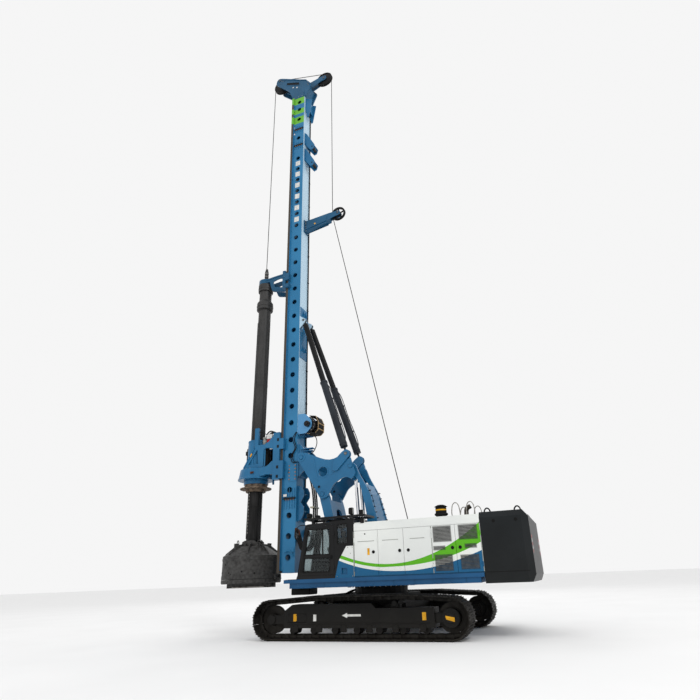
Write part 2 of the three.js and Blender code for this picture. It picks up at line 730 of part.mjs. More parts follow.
// ---------------------------------------------------------------- parallel linkage
function frontArm() {
  const side = [
    [armFoot[0] - 150, armFoot[1] - 60, 90], [armFoot[0] + 60, armFoot[1] - 160, 90],
    [armFoot[0] + 190, armFoot[1] + 60, 60], [1640, 3330, 200],
    [1800, 3920, 60], [armHead[0] + 130, armHead[1] + 120, 90],
    [armHead[0] - 110, armHead[1] + 130, 90], [1430, 3790, 120], [1330, 3330, 150],
  ];
  const body = plate(side, -linkageHalf, linkageHalf);
  const hollow = plate([
    [armFoot[0] + 20, armFoot[1] + 250], [armFoot[0] + 170, armFoot[1] + 250],
    [1580, 3330], [1690, 3780], [1520, 3780], [1390, 3330],
  ], -linkageHalf + 70, linkageHalf - 70);
  const oval = bar([
    [-230, 2500, 200], [230, 2500, 200], [230, 3600, 200], [-230, 3600, 200],
  ], 900, 2000);
  const fork = block(800, 2000, -390, 390, armFoot[1] - 250, armFoot[1] + 200);
  const headGap = block(1300, 2000, -390, 390, armHead[1] - 190, armHead[1] + 300);
  const bores = [armFoot, armHead].map((place) => boreY(place, linkagePin, -700, 700));
  return cut(body, hollow, oval, fork, headGap, ...bores);
}

function rearLink() {
  const side = [
    [linkFoot[0] - 160, linkFoot[1] - 40, 90], [linkFoot[0] + 20, linkFoot[1] - 140, 90],
    [linkFoot[0] + 140, linkFoot[1] + 60, 90], [190, 3200, 150], [260, 3620, 200],
    [420, 4320, 150], [linkHead[0] + 120, linkHead[1] - 40, 80],
    [linkHead[0] + 30, linkHead[1] + 130, 90], [linkHead[0] - 120, linkHead[1] + 70, 90],
    [430, 4600, 100], [90, 3990, 200], [-160, 3060, 150],
  ];
  const plates = platePair(side, 420, 500);
  const bosses = [linkFoot, linkHead].map((place) => pinPair(place, 115, 410, linkageHalf));
  const web = plate([
    [-125, 3080], [-40, 3080], [170, 3960], [330, 4280], [260, 4280], [85, 3960],
  ], -460, 460);
  const bores = [linkFoot, linkHead].map((place) => boreY(place, linkagePin, -700, 700));
  return cut(join(plates, ...bosses, web), ...bores);
}

const stayEyeHalf = 40;
const staySlotHalf = 45;
const stayPin = 45;
const pivotPin = 70;

function triangle() {
  const side = [
    [mastPivot[0] + 150, mastPivot[1] - 40, 100], [mastPivot[0] + 130, mastPivot[1] + 160, 120],
    [mastPivot[0] - 60, mastPivot[1] + 180, 120], [1560, 5140, 200], [1270, 5130, 200],
    [stayFoot[0] + 20, stayFoot[2] + 60, 60], [690, 5180, 80], [620, 4960, 80],
    [500, 4600, 60], [640, 4420, 60], [830, 4530, 80], [1020, 4480, 80], [1280, 4330, 100],
    [1520, 3920, 80], [armHead[0] + 60, armHead[1] - 160, 80], [1850, 4060, 60], [1920, 4190, 60],
  ];
  const plates = cut(platePair(side, plateInner, plateOuter), pinPair([1660, 4760], 160,
    plateInner - 10, plateOuter + 10, 20), pinPair([1800, 4280], 45, plateInner - 10,
    plateOuter + 10, 10));
  const ears = [
    [stayFoot[0] - 150, stayFoot[2] - 60, 90], [stayFoot[0] - 60, stayFoot[2] - 150, 40],
    [1150, 4720, 60], [1310, 4760, 60], [1240, 5060, 60],
    [stayFoot[0] + 150, stayFoot[2] + 60, 80], [stayFoot[0], stayFoot[2] + 150, 90],
    [stayFoot[0] - 120, stayFoot[2] + 100, 80],
  ];
  const doublers = platePair(ears, stayFoot[1] - 75, stayFoot[1] + 75);
  const slots = pinPair([stayFoot[0], stayFoot[2]], 185, stayFoot[1] - staySlotHalf,
    stayFoot[1] + staySlotHalf, 20);
  const stayPins = pinPair([stayFoot[0], stayFoot[2]], stayPin, stayFoot[1] - 60,
    stayFoot[1] + 60);
  const linkPins = pinPair(linkHead, linkagePin, 410, plateOuter + 15);
  const armPins = pinPair(armHead, linkagePin, 400, plateOuter + 15);
  const crossBox = block(930, 1080, -plateInner - 5, plateInner + 5, 4640, 4980);
  const archWeb = plate([
    [1930, 4700, 60], [2010, 4640, 60], [2130, 4860, 60], [2040, 4930, 60],
  ], -plateInner - 5, plateInner + 5);
  const topWeb = block(1330, 1560, -plateInner - 5, plateInner + 5, 4990, 5070);
  const lugs = luffLugs([
    [950, 4660], [950, 4930], [luffHead[0] + 90, luffHead[1] + 230, 80],
    [luffHead[0] - 85, luffHead[1] + 40, 70], [luffHead[0] - 60, luffHead[1] - 85, 70],
    [luffHead[0] + 90, luffHead[1] - 60, 70],
  ]);
  const linkWay = pinPair(linkHead, 135, 400, plateInner, 20);
  const carrier = cut(join(crossBox, archWeb, topWeb), linkWay);
  const bores = boreY(mastPivot, pivotPin, -700, 700);
  return cut(join(cut(join(plates, doublers), slots), stayPins, linkPins, armPins, carrier, lugs),
    bores);
}
piece('front_arm', frontArm(), deckBlue());
piece('rear_link', rearLink(), deckBlue());
piece('triangle', triangle(), deckBlue());

// Luffing cylinders: barrel on the deck's pin, rod up to the triangle's lugs.
const luffBarrelRadius = 100;
const luffRodRadius = 55;

function luffCylinders(side, hand) {
  const foot = [luffFoot[0], side, luffFoot[1]];
  const head = [luffHead[0], side, luffHead[1]];
  const rodEnd = along(foot, head, 0.3);
  const mouth = along(foot, head, 0.53);
  const eye = pinY(luffFoot, 85, side - luffEyeHalf, side + luffEyeHalf);
  const neck = rod(foot, along(foot, head, 0.06), luffEyeHalf - 4);
  const barrel = rod(along(foot, head, 0.045), mouth, luffBarrelRadius);
  const bore = rodBore(along(foot, head, 0.12), along(foot, head, 0.6), luffRodRadius);
  const pinHole = boreY(luffFoot, luffPin, side - 100, side + 100);
  piece(`luff_barrel_${hand}`, cut(join(eye, neck, barrel), bore, pinHole), slate());
  const headEye = pinY(luffHead, 75, side - luffEyeHalf, side + luffEyeHalf);
  piece(`luff_rod_${hand}`, join(rod(rodEnd, along(foot, head, 0.98), luffRodRadius), headEye),
    chrome());
}
luffCylinders(luffSide, 'left');
luffCylinders(-luffSide, 'right');

// ---------------------------------------------------------------- leader mast
const lowHoles = [2190, 2845, 3495, 4330, 4940, 5500];
const topHoles = [20195, 21355, 21980, 22455];
const holeCount = 22;

function mast() {
  const box = cut(
    block(mastRear, mastFront, -mastHalf, mastHalf, mastBottom, mastTop),
    block(mastRear + mastWall, mastFront - mastWall, -mastHalf + mastWall, mastHalf - mastWall,
      mastBottom - 10, mastTop + 10),
  );
  const rails = join(
    blockPair(mastFront - 10, railFront, railInner, mastHalf, mastBottom, mastTop),
    blockPair(mastFront, railFront, mastHalf - 10, railHalf, mastBottom, mastTop),
  );
  const heights = [...lowHoles, ...topHoles];
  for (let index = 0; index < holeCount; index += 1) heights.push(firstHole + index * holePitch);
  const middle = (mastRear + mastFront) / 2;
  const holes = join(...heights.map((z) =>
    pinY([middle, z], holeRadius, -mastHalf - 10, mastHalf + 10, holeSides)));
  const lugLine = [
    [mastRear + 10, stayHead[2] - 330], [mastRear + 10, stayHead[2] + 230],
    [stayHead[0] + 30, stayHead[2] + 100, 80], [stayHead[0] - 90, stayHead[2] + 60, 80],
    [stayHead[0] - 70, stayHead[2] - 90, 80],
  ];
  const lugs = [stayHead[1] - 80, stayHead[1] + 50].map((y) =>
    platePair(lugLine, y, y + 30));
  const lowerPlate = blockPair(mastRear + 10, mastFront - 200, mastHalf - 5, mastHalf + 12, 4610,
    5190);
  return join(cut(join(box, rails), holes), ...lugs, lowerPlate);
}
piece('mast', mast(), mastBlue());

// Pivot bracket behind the mast, whose pins turn in the triangle.
function mastBracket() {
  const [x, z] = mastPivot;
  const cheeks = platePair([
    [mastRear - seat, z - 560], [mastRear - seat, z + 560], [mastRear - 60, z + 560],
    [x - 150, z + 170, 120], [x - 170, z - 150, 120], [mastRear - 60, z - 560],
  ], 240, 300);
  const back = block(mastRear - 60, mastRear - seat, -330, 330, z - 560, z + 560);
  const boss = pinY(mastPivot, 150, -linkageHalf + 10, linkageHalf - 10);
  return join(cheeks, back, boss, pinY(mastPivot, pivotPin, -plateOuter - 15, plateOuter + 15));
}
piece('mast_bracket', mastBracket(), deckBlue());

// Head: two side plates with the front sheave between them and the rear sheave's arm.
const sheavePin = 50;

function mastHead() {
  const foot = mastTop + seat;
  const [frontX, frontZ] = headSheave;
  const [rearX, rearZ] = rearSheave;
  const cheek = [
    [mastRear - 90, foot], [mastFront + 80, foot], [3640, foot + 730, 60], [4380, foot + 1450, 90],
    [frontX + 160, frontZ + 60, 90], [frontX + 60, frontZ + 180, 90],
    [frontX - 120, frontZ + 120, 90], [2700, foot + 1050, 80], [2430, foot + 670, 80],
  ];
  const cheeks = platePair(cheek, 300, 350);
  const middle = [
    [mastRear, foot], [mastFront, foot], [3420, foot + 550], [3180, foot + 1100],
    [2700, foot + 950], [2560, foot + 670],
  ];
  const core = plate(middle, -310, 310);
  const rearPlates = platePair([
    [2760, foot + 580], [2760, foot + 1010], [rearX + 140, rearZ + 140, 90], [rearX - 120, rearZ + 130, 90],
    [rearX - 130, rearZ - 120, 90], [rearX + 120, rearZ - 140, 90],
  ], sheaveHalf + 20, sheaveHalf + 60);
  const frontPlates = platePair([
    [3000, foot + 590], [3380, foot + 590], [frontX + 130, frontZ - 110, 90],
    [frontX + 110, frontZ + 120, 90], [frontX - 100, frontZ + 130, 90], [3000, foot + 1080],
  ], sheaveHalf + 20, sheaveHalf + 60);
  const room = join(
    pinY([frontX, frontZ], headSheave[2] + 30, -sheaveHalf - 10, sheaveHalf + 10),
    pinY([rearX, rearZ], rearSheave[2] + 30, -sheaveHalf - 10, sheaveHalf + 10),
  );
  const shafts = join(
    pinY([frontX, frontZ], sheavePin, -360, 360, roundSides),
    pinY([rearX, rearZ], sheavePin, -sheaveHalf - 70, sheaveHalf + 70, roundSides),
  );
  return join(cut(join(cheeks, core, rearPlates, frontPlates), room), shafts);
}
piece('mast_head', mastHead(), mastBlue());

function sheave([x, z, radius]) {
  const bore = boreFor(sheavePin, roundSides);
  const half = sheaveHalf;
  return turnedY([x, z], 0, [
    [bore, -half], [110, -half], [radius - 70, -25], [radius, -half + 10], [radius - 45, 0],
    [radius, half - 10], [radius - 70, 25], [110, half], [bore, half], [bore, -half],
  ], Math.PI / roundSides);
}
piece('head_sheave', sheave(headSheave), castSteel());
piece('rear_sheave', sheave(rearSheave), castSteel());
piece('guide_sheave', sheave(guideSheave), castSteel());

function guideArm() {
  const [x, z, radius] = guideSheave;
  const foot = mastRear - seat;
  const flange = block(foot - 40, foot, -160, 160, z - 560, z + 40);
  const beam = plate([
    [foot - 20, z - 520], [foot - 20, z], [x + radius + 40, z + 100], [x + radius + 40, z - 240],
  ], -100, 100);
  const fork = platePair([
    [x + radius + 60, z - 200], [x + radius + 60, z + 90], [x + 60, z + 110, 80],
    [x - 120, z + 80, 80], [x - 110, z - 110, 80], [x + 60, z - 120, 80],
  ], sheaveHalf + 15, 100);
  return join(flange, beam, fork, pinY([x, z], sheavePin, -110, 110, roundSides));
}
piece('guide_arm', guideArm(), mastBlue());

// Auxiliary winch on the back of the mast.
const auxShaft = 50;

function auxWinchFrame() {
  const [x, z] = auxWinch;
  const foot = mastRear - seat;
  const cheeks = platePair([
    [foot, z - 320], [foot, z + 400], [x + 100, z + 400, 60], [x - 160, z + 120, 80],
    [x - 160, z - 120, 80], [x + 60, z - 320, 80],
  ], 290, 330);
  const back = block(foot - 40, foot, -300, 300, z - 320, z + 400);
  const bore = boreY(auxWinch, auxShaft, -400, 400, roundSides);
  return cut(join(cheeks, back), bore);
}
piece('aux_winch_frame', auxWinchFrame(), mastBlue());
piece('aux_winch', winchDrum(auxWinch, 190, 275, 270, auxShaft, 330), castSteel());

// Backstays: barrel on the triangle, rod up to the lugs behind the mast.
function backstay(hand, side) {
  const foot = [stayFoot[0], side * stayFoot[1], stayFoot[2]];
  const head = [stayHead[0], side * stayHead[1], stayHead[2]];
  const at = (share) => along(foot, head, share);
  const eye = pinY([foot[0], foot[2]], 120, foot[1] - stayEyeHalf, foot[1] + stayEyeHalf);
  const neck = rod(at(0.005), at(0.06), 37, 10);
  const barrel = rod(at(0.045), at(0.5), stayBarrelRadius);
  const bore = rodBore(at(0.32), at(0.6), stayRodRadius);
  const pinHole = boreY([foot[0], foot[2]], stayPin, foot[1] - 100, foot[1] + 100);
  piece(`stay_barrel_${hand}`, cut(join(eye, neck, barrel), bore, pinHole), slate());
  const headEye = pinY([head[0], head[2]], 80, head[1] - stayEyeHalf, head[1] + stayEyeHalf);
  const tube = rod(at(0.41), at(0.965), stayRodRadius);
  const tip = rod(at(0.96), at(0.995), 38, 10);
  piece(`stay_rod_${hand}`, join(tube, tip, headEye), darkSteel());
}
backstay('left', 1);
backstay('right', -1);

// ---------------------------------------------------------------- rotary drive
const carriageBottom = 4690;
const carriageTop = 6350;
const gearboxBottom = 4670;
const caseTop = 5180;
const caseRadius = 570;
const driveBore = kellyRadius + 30;
const driveFoot = 3990; // where the gearbox bolts to the carriage's arms

// Claws that hold a carriage on the outer edges of the mast's rails.
function claws(z0, z1) {
  const slide = runGap;
  return join(
    blockPair(mastFront - 60, railFront + 60, railHalf + slide, railHalf + 90, z0, z1),
    blockPair(mastFront - 60, mastFront - slide, mastHalf + 15, railHalf + 10, z0, z1),
  );
}

function driveCarriage() {
  const face = railFront + runGap;
  const front = 3650;
  const wall = block(face, front, -railHalf - 90, railHalf + 90, carriageBottom, carriageTop);
  const channel = block(face + 60, front + 10, -300, 300, carriageBottom - 10, carriageTop + 10);
  const lowArms = platePair([
    [front - 10, 4900], [driveFoot, 4920], [driveFoot, 5170], [3850, 5230, 60],
    [front - 10, 5420, 120],
  ], 300, railHalf + 60);
  const highArms = platePair([
    [front - 10, 5760], [3800, 5840, 60], [driveFoot, 5860], [driveFoot, 6010],
    [3860, 6060], [front - 10, carriageTop - 60, 100],
  ], 300, railHalf + 60);
  return join(cut(wall, channel), lowArms, highArms, claws(carriageBottom + 30, 5330),
    claws(5740, carriageTop - 230));
}
piece('drive_carriage', driveCarriage(), mastBlue());

function driveGearbox() {
  const foot = driveFoot + seat;
  const skirt = turned(kellyAxis, [
    [driveBore, gearboxBottom + runGap], [430, gearboxBottom + runGap], [430, 4820],
    [645, 4820], [645, 4860], [620, 4890], [caseRadius, caseTop], [driveBore, caseTop],
    [driveBore, gearboxBottom + runGap],
  ], 28);
  const body = block(foot, kellyAxis, -470, 470, 4890, caseTop);
  const cheeks = platePair([
    [foot, caseTop - 40], [4930, caseTop - 40], [4500, 5900], [4470, 6010], [foot, 6010],
    [foot, 5860], [4100, 5840, 40], [4100, caseTop + 60, 40], [foot, caseTop + 40],
  ], 350, 390);
  const windows = platePair([[4310, 5340], [4720, 5330], [4370, 5860]], 340, 400);
  const tube = column(kellyAxis, 0, 345, caseTop - 10, 6240, 28);
  const webs = blockPair(kellyAxis - 60, kellyAxis, 320, 360, caseTop - 10, 5950);
  const motors = [[4075, 200], [4075, -200], [5050, -200]].map(([x, y]) => join(
    column(x, y, 118, caseTop - 10, x > kellyAxis ? 6060 : 5780, 12),
    column(x, y, 85, 5600, x > kellyAxis ? 6180 : 5900, 12),
  ));
  const post = block(4345, 4500, 300, 390, 6000, 6640);
  const bore = column(kellyAxis, 0, driveBore, gearboxBottom - 10, 6800, 28);
  return cut(join(skirt, body, cut(cheeks, windows), tube, webs, post, ...motors), bore);
}
piece('drive_gearbox', driveGearbox(), mastBlue());

function driveSleeve() {
  const top = gearboxBottom;
  const bore = driveBore - 10;
  return turned(kellyAxis, [
    [bore, top - 260], [550, top - 260], [550, top - 120], [410, top - 120], [410, top],
    [bore, top], [bore, top - 260],
  ], 28);
}
piece('drive_sleeve', driveSleeve(), wornSteel());

// ---------------------------------------------------------------- kelly bar and its guide
const kellyHead = kellyTop + 310;
const guideRingTop = kellyHead + 200;
const kellyNeck = 140;

function kellyGuide() {
  const face = railFront + runGap;
  const low = kellyTop - 310;
  const wall = block(face, face + 120, -railHalf - 90, railHalf + 90, low, guideRingTop - 20);
  const ring = cut(
    column(kellyAxis, 0, 290, kellyHead + runGap, guideRingTop, roundSides),
    column(kellyAxis, 0, kellyNeck + 6, kellyHead - 10, guideRingTop + 10, roundSides),
  );
  const arms = platePair([
    [face + 100, low + 10], [3600, low + 10], [4110, low + 130, 60], [4210, kellyTop + 60, 60],
    [4270, kellyHead + 20], [4740, kellyHead + 20], [4740, guideRingTop - 60],
    [3990, guideRingTop + 20], [3640, guideRingTop + 40], [face + 100, guideRingTop + 40],
  ], 200, 250);
  const windows = platePair([
    [3660, kellyTop - 80], [4040, kellyTop + 20, 60], [4120, kellyHead - 10, 60],
    [3800, kellyHead + 70, 60], [3640, kellyHead + 20, 60],
  ], 190, 260);
  const tie = block(face + 100, 3720, -210, 210, kellyHead + 80, kellyHead + 130);
  return join(wall, ring, cut(arms, windows), tie, claws(low + 20, low + 180),
    claws(guideRingTop - 460, guideRingTop - 150));
}
piece('kelly_guide', kellyGuide(), mastBlue());

function kelly() {
  const stub = bucketTop + seat;
  const flange = guideRingTop + runGap;
  return turned(kellyAxis, [
    [0, stub], [150, stub], [kellyRadius, stub + 90], [kellyRadius, kellyTop - 850],
    [kellyRadius + 80, kellyTop - 850], [kellyRadius + 80, kellyTop - 550],
    [kellyRadius, kellyTop - 420], [kellyRadius, kellyTop], [300, kellyTop], [300, kellyHead],
    [kellyNeck, kellyHead], [kellyNeck, flange], [215, flange], [215, flange + 50],
    [90, flange + 90], [80, flange + 110], [80, flange + 480], [45, flange + 640],
    [0, flange + 640],
  ]);
}
piece('kelly', kelly(), wornSteel());

// ---------------------------------------------------------------- drilling bucket
const doorHinge = [kellyAxis - bucketRadius - 25, bucketBottom - 3];
const bucketPin = 22;

function bucket() {
  const wall = 30;
  const shell = turned(kellyAxis, [
    [0, 2570], [500, 2570], [bucketRadius - wall, 2270], [bucketRadius - wall, bucketBottom],
    [bucketRadius, bucketBottom], [bucketRadius, 2300], [520, 2600], [200, 2600],
    [200, bucketTop], [0, bucketTop],
  ], 32);
  const ears = [1, -1].map((side) => {
    const [low, high] = side > 0 ? [120 + pinGap, 200] : [-200, -120 - pinGap];
    return join(
      pinY(doorHinge, bucketPin, low, high, 10),
      block(doorHinge[0] - 15, doorHinge[0] + 45, low, high, doorHinge[1] + 8, 1720),
    );
  });
  return join(shell, ...ears);
}
piece('bucket', bucket(), wornSteel());

function bucketDoor() {
  const top = bucketBottom - 5;
  const plateBottom = 1460;
  const disc = turned(kellyAxis, [
    [0, plateBottom], [bucketRadius - 30, plateBottom], [bucketRadius, plateBottom + 30],
    [bucketRadius, top], [0, top],
  ], 32);
  const cutters = [1, -1].map((side) => block(kellyAxis - 830, kellyAxis + 830,
    side > 0 ? 60 : -180, side > 0 ? 180 : -60, 1330, plateBottom + 5));
  const knuckle = join(
    pinY(doorHinge, bucketPin, -120, 120, 10),
    block(doorHinge[0] - 10, doorHinge[0] + 60, -120, 120, doorHinge[1] - 60, doorHinge[1] - 3),
  );
  return join(disc, ...cutters, knuckle);
}
piece('bucket_door', bucketDoor(), wornSteel());

// The rig stands with the middle of its length over the origin.
rig.position.x = -(kellyAxis + bucketRadius + counterweightRear) / 2;

export default rig;
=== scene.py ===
# Rotary piling rig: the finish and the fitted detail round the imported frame, from the floor up.
# Metres in the row's frame; every length along the rig is given from the slewing axis.
import math
import bpy
from mathutils import Matrix, Vector


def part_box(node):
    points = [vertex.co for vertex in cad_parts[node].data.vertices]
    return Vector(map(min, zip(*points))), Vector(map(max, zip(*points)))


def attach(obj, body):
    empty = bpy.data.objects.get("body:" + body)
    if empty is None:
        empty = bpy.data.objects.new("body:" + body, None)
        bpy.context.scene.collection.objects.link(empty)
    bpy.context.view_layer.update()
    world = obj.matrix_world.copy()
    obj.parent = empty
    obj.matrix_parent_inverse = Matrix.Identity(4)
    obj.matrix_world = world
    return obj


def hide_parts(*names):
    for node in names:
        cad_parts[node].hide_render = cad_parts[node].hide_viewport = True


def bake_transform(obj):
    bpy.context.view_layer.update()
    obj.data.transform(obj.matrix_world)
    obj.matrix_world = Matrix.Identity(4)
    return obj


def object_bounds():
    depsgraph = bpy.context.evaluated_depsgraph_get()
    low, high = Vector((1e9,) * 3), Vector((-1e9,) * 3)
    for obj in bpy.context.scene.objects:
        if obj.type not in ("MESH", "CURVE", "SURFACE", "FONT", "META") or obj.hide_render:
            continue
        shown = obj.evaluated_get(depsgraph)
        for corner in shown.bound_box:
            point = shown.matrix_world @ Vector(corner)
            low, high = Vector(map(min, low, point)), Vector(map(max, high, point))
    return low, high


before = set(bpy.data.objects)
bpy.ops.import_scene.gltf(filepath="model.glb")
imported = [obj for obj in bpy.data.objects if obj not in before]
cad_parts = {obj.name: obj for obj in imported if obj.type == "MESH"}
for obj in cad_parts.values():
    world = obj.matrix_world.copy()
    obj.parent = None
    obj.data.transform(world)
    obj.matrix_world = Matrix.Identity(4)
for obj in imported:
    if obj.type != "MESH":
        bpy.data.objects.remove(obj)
cad_low, cad_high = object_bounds()

# ------------------------------------------------------------------ camera, floor and light
# A low camera beside the rear of the rig looks up at the mast. The floor is one pale flat disc, and
# big soft lights stand to the left, behind and in front under a white sky.
slew_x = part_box("counterweight")[0].x + 4.67  # the slewing axis in the row's frame


def at(x, y, z):
    """A point given from the slewing axis, as a vector in the row's frame."""
    return Vector((x + slew_x, y, z))


def make_camera():
    yaw, pitch, roll = math.radians(20.29), math.radians(23.15), math.radians(-2.16)
    forward = Vector((
        math.sin(yaw) * math.cos(pitch), -math.cos(yaw) * math.cos(pitch), math.sin(pitch)))
    level = forward.cross(Vector((0, 0, 1))).normalized()
    upright = level.cross(forward)
    right = math.cos(roll) * level + math.sin(roll) * upright
    up = -math.sin(roll) * level + math.cos(roll) * upright
    data = bpy.data.cameras.new("camera")
    data.lens = 26.585
    data.sensor_width = 36.0
    data.shift_x, data.shift_y = -0.02796, 0.00979
    data.clip_end = 400.0
    camera = bpy.data.objects.new("camera", data)
    bpy.context.scene.collection.objects.link(camera)
    turn = Matrix((right, up, -forward)).transposed().to_4x4()
    camera.matrix_world = Matrix.Translation(at(-5.845, 16.081, 1.490)) @ turn
    bpy.context.scene.camera = camera


def make_floor():
    bpy.ops.object.select_all(action="DESELECT")
    bpy.ops.mesh.primitive_circle_add(vertices=96, radius=380, fill_type="NGON")
    floor = bpy.context.object
    floor.name = "floor"
    bpy.ops.object.mode_set(mode="EDIT")
    bpy.ops.mesh.inset(thickness=260)
    bpy.ops.transform.translate(value=(0, 0, -0.002))
    bpy.ops.object.mode_set(mode="OBJECT")
    material = bpy.data.materials.new("pale floor")
    material.use_nodes = True
    nodes, links = material.node_tree.nodes, material.node_tree.links
    shader = nodes["Principled BSDF"]
    shader.inputs["Roughness"].default_value = 0.85
    noise = nodes.new("ShaderNodeTexNoise")
    noise.inputs["Scale"].default_value = 0.4
    ramp = nodes.new("ShaderNodeValToRGB")
    ramp.color_ramp.elements[0].color = (0.83, 0.83, 0.83, 1)
    ramp.color_ramp.elements[1].color = (0.90, 0.90, 0.90, 1)
    place = nodes.new("ShaderNodeTexCoord")
    links.new(place.outputs["Object"], noise.inputs["Vector"])
    links.new(noise.outputs["Fac"], ramp.inputs["Fac"])
    links.new(ramp.outputs["Color"], shader.inputs["Base Color"])
    floor.data.materials.append(material)


def make_light(name, spot, aim, size, power):
    data = bpy.data.lights.new(name, "AREA")
    data.shape, data.size, data.energy = "DISK", size, power
    lamp = bpy.data.objects.new(name, data)
    bpy.context.scene.collection.objects.link(lamp)
    lamp.location = spot
    lamp.rotation_euler = (Vector(aim) - Vector(spot)).to_track_quat("-Z", "Y").to_euler()


make_camera()
make_floor()
make_light("key light", (-24, 22, 34), (0, 0, 8), 14, 4000)
make_light("side light", (14, 32, 14), (0, 0, 6), 18, 500)
make_light("back light", (10, -30, 24), (0, 0, 8), 18, 1600)
world = bpy.data.worlds.new("studio")
bpy.context.scene.world = world
world.use_nodes = True
world.node_tree.nodes["Background"].inputs["Color"].default_value = (1.0, 1.0, 1.0, 1)
world.node_tree.nodes["Background"].inputs["Strength"].default_value = 0.92
bpy.context.scene.view_settings.view_transform = "Standard"

# ------------------------------------------------------------------ crawler tracks
# Each track is a closed chain of forged links with a flat steel shoe bolted to every link, three
# low grousers across each shoe. Worn dark steel, with dry earth towards the ground.


def laid_over(material, tint, mask):
    """Lays a flat colour over a material's own where a shader mask is one."""
    nodes, links = material.node_tree.nodes, material.node_tree.links
    socket = nodes["Principled BSDF"].inputs["Base Color"]
    mix = nodes.new("ShaderNodeMix")
    mix.data_type = "RGBA"
    mix.inputs["B"].default_value = (*tint, 1)
    links.new(mask, mix.inputs["Factor"])
    links.new(socket.links[0].from_socket, mix.inputs["A"])
    links.new(mix.outputs["Result"], socket)


def surface(name, tint, shade, size=3.0, rough=(0.35, 0.55), metal=0.0, relief=0.0,
            stretch=(1, 1, 1), dust=None, coat=0.0, low=0.4, high=0.62):
    """Two close colours in broad patches, fine grain in the gloss, and dust near the ground."""
    material = bpy.data.materials.new(name)
    material.use_nodes = True
    nodes, links = material.node_tree.nodes, material.node_tree.links
    shader = nodes["Principled BSDF"]
    shader.inputs["Metallic"].default_value = metal
    shader.inputs["Coat Weight"].default_value = coat
    shader.inputs["Specular IOR Level"].default_value = 0.14
    place = nodes.new("ShaderNodeTexCoord")
    turn = nodes.new("ShaderNodeMapping")
    turn.inputs["Scale"].default_value = stretch
    links.new(place.outputs["Object"], turn.inputs["Vector"])
    patches = nodes.new("ShaderNodeTexNoise")
    patches.inputs["Scale"].default_value = size
    patches.inputs["Detail"].default_value = 6.0
    links.new(turn.outputs["Vector"], patches.inputs["Vector"])
    ramp = nodes.new("ShaderNodeValToRGB")
    ramp.color_ramp.elements[0].position, ramp.color_ramp.elements[1].position = low, high
    ramp.color_ramp.elements[0].color = (*shade, 1)
    ramp.color_ramp.elements[1].color = (*tint, 1)
    links.new(patches.outputs["Fac"], ramp.inputs["Fac"])
    links.new(ramp.outputs["Color"], shader.inputs["Base Color"])
    fine = nodes.new("ShaderNodeTexNoise")
    fine.inputs["Scale"].default_value = size * 14
    fine.inputs["Detail"].default_value = 4.0
    links.new(turn.outputs["Vector"], fine.inputs["Vector"])
    gloss = nodes.new("ShaderNodeMapRange")
    gloss.inputs["To Min"].default_value, gloss.inputs["To Max"].default_value = rough
    links.new(fine.outputs["Fac"], gloss.inputs["Value"])
    links.new(gloss.outputs["Result"], shader.inputs["Roughness"])
    if dust:
        top, bottom, earth, most = dust
        split = nodes.new("ShaderNodeSeparateXYZ")
        links.new(place.outputs["Object"], split.inputs["Vector"])
        fade = nodes.new("ShaderNodeMapRange")
        fade.inputs["From Min"].default_value, fade.inputs["From Max"].default_value = top, bottom
        fade.inputs["To Max"].default_value = most
        links.new(split.outputs["Z"], fade.inputs["Value"])
        lay = nodes.new("ShaderNodeMath")
        lay.operation = "MULTIPLY"
        links.new(fade.outputs["Result"], lay.inputs[0])
        links.new(fine.outputs["Fac"], lay.inputs[1])
        laid_over(material, earth, lay.outputs["Value"])
    if relief:
        bump = nodes.new("ShaderNodeBump")
        bump.inputs["Strength"].default_value = 0.4
        bump.inputs["Distance"].default_value = relief
        links.new(fine.outputs["Fac"], bump.inputs["Height"])
        links.new(bump.outputs["Normal"], shader.inputs["Normal"])
    return material


def paint(piece, material):
    """Gives a piece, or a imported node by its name, one finish."""
    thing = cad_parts[piece] if isinstance(piece, str) else piece
    thing.data.materials.clear()
    thing.data.materials.append(material)
    return thing


earth = (0.10, 0.085, 0.065)
track_steel = surface(
    "worn track steel", (0.024, 0.023, 0.021), (0.009, 0.0085, 0.008), size=5, rough=(0.45, 0.8),
    metal=0.4, relief=0.004, dust=(1.2, 0.0, earth, 0.30))
bare_steel = surface(
    "bare worn steel", (0.30, 0.29, 0.27), (0.13, 0.12, 0.11), size=8, rough=(0.3, 0.55), metal=0.9,
    relief=0.002)
bolt_steel = surface(
    "zinc plated bolts", (0.42, 0.41, 0.38), (0.22, 0.21, 0.19), size=20, rough=(0.3, 0.5),
    metal=0.9)


def break_edges(width):
    """Bevels every edge of the part in hand."""
    if width:
        bpy.ops.object.mode_set(mode="EDIT")
        bpy.ops.mesh.select_all(action="SELECT")
        bpy.ops.mesh.bevel(offset=width, segments=1, affect="EDGES")
        bpy.ops.object.mode_set(mode="OBJECT")


def block(name, low, high, bevel=0.006):
    """A plate or bar between two opposite corners, its edges broken."""
    bpy.ops.object.select_all(action="DESELECT")
    low, high = at(*low), at(*high)
    bpy.ops.mesh.primitive_cube_add(size=1)
    made = bpy.context.object
    made.name = made.data.name = name
    made.data.transform(
        Matrix.Translation((low + high) / 2) @ Matrix.Diagonal((*[abs(v) for v in high - low], 1)))
    break_edges(bevel)
    return made


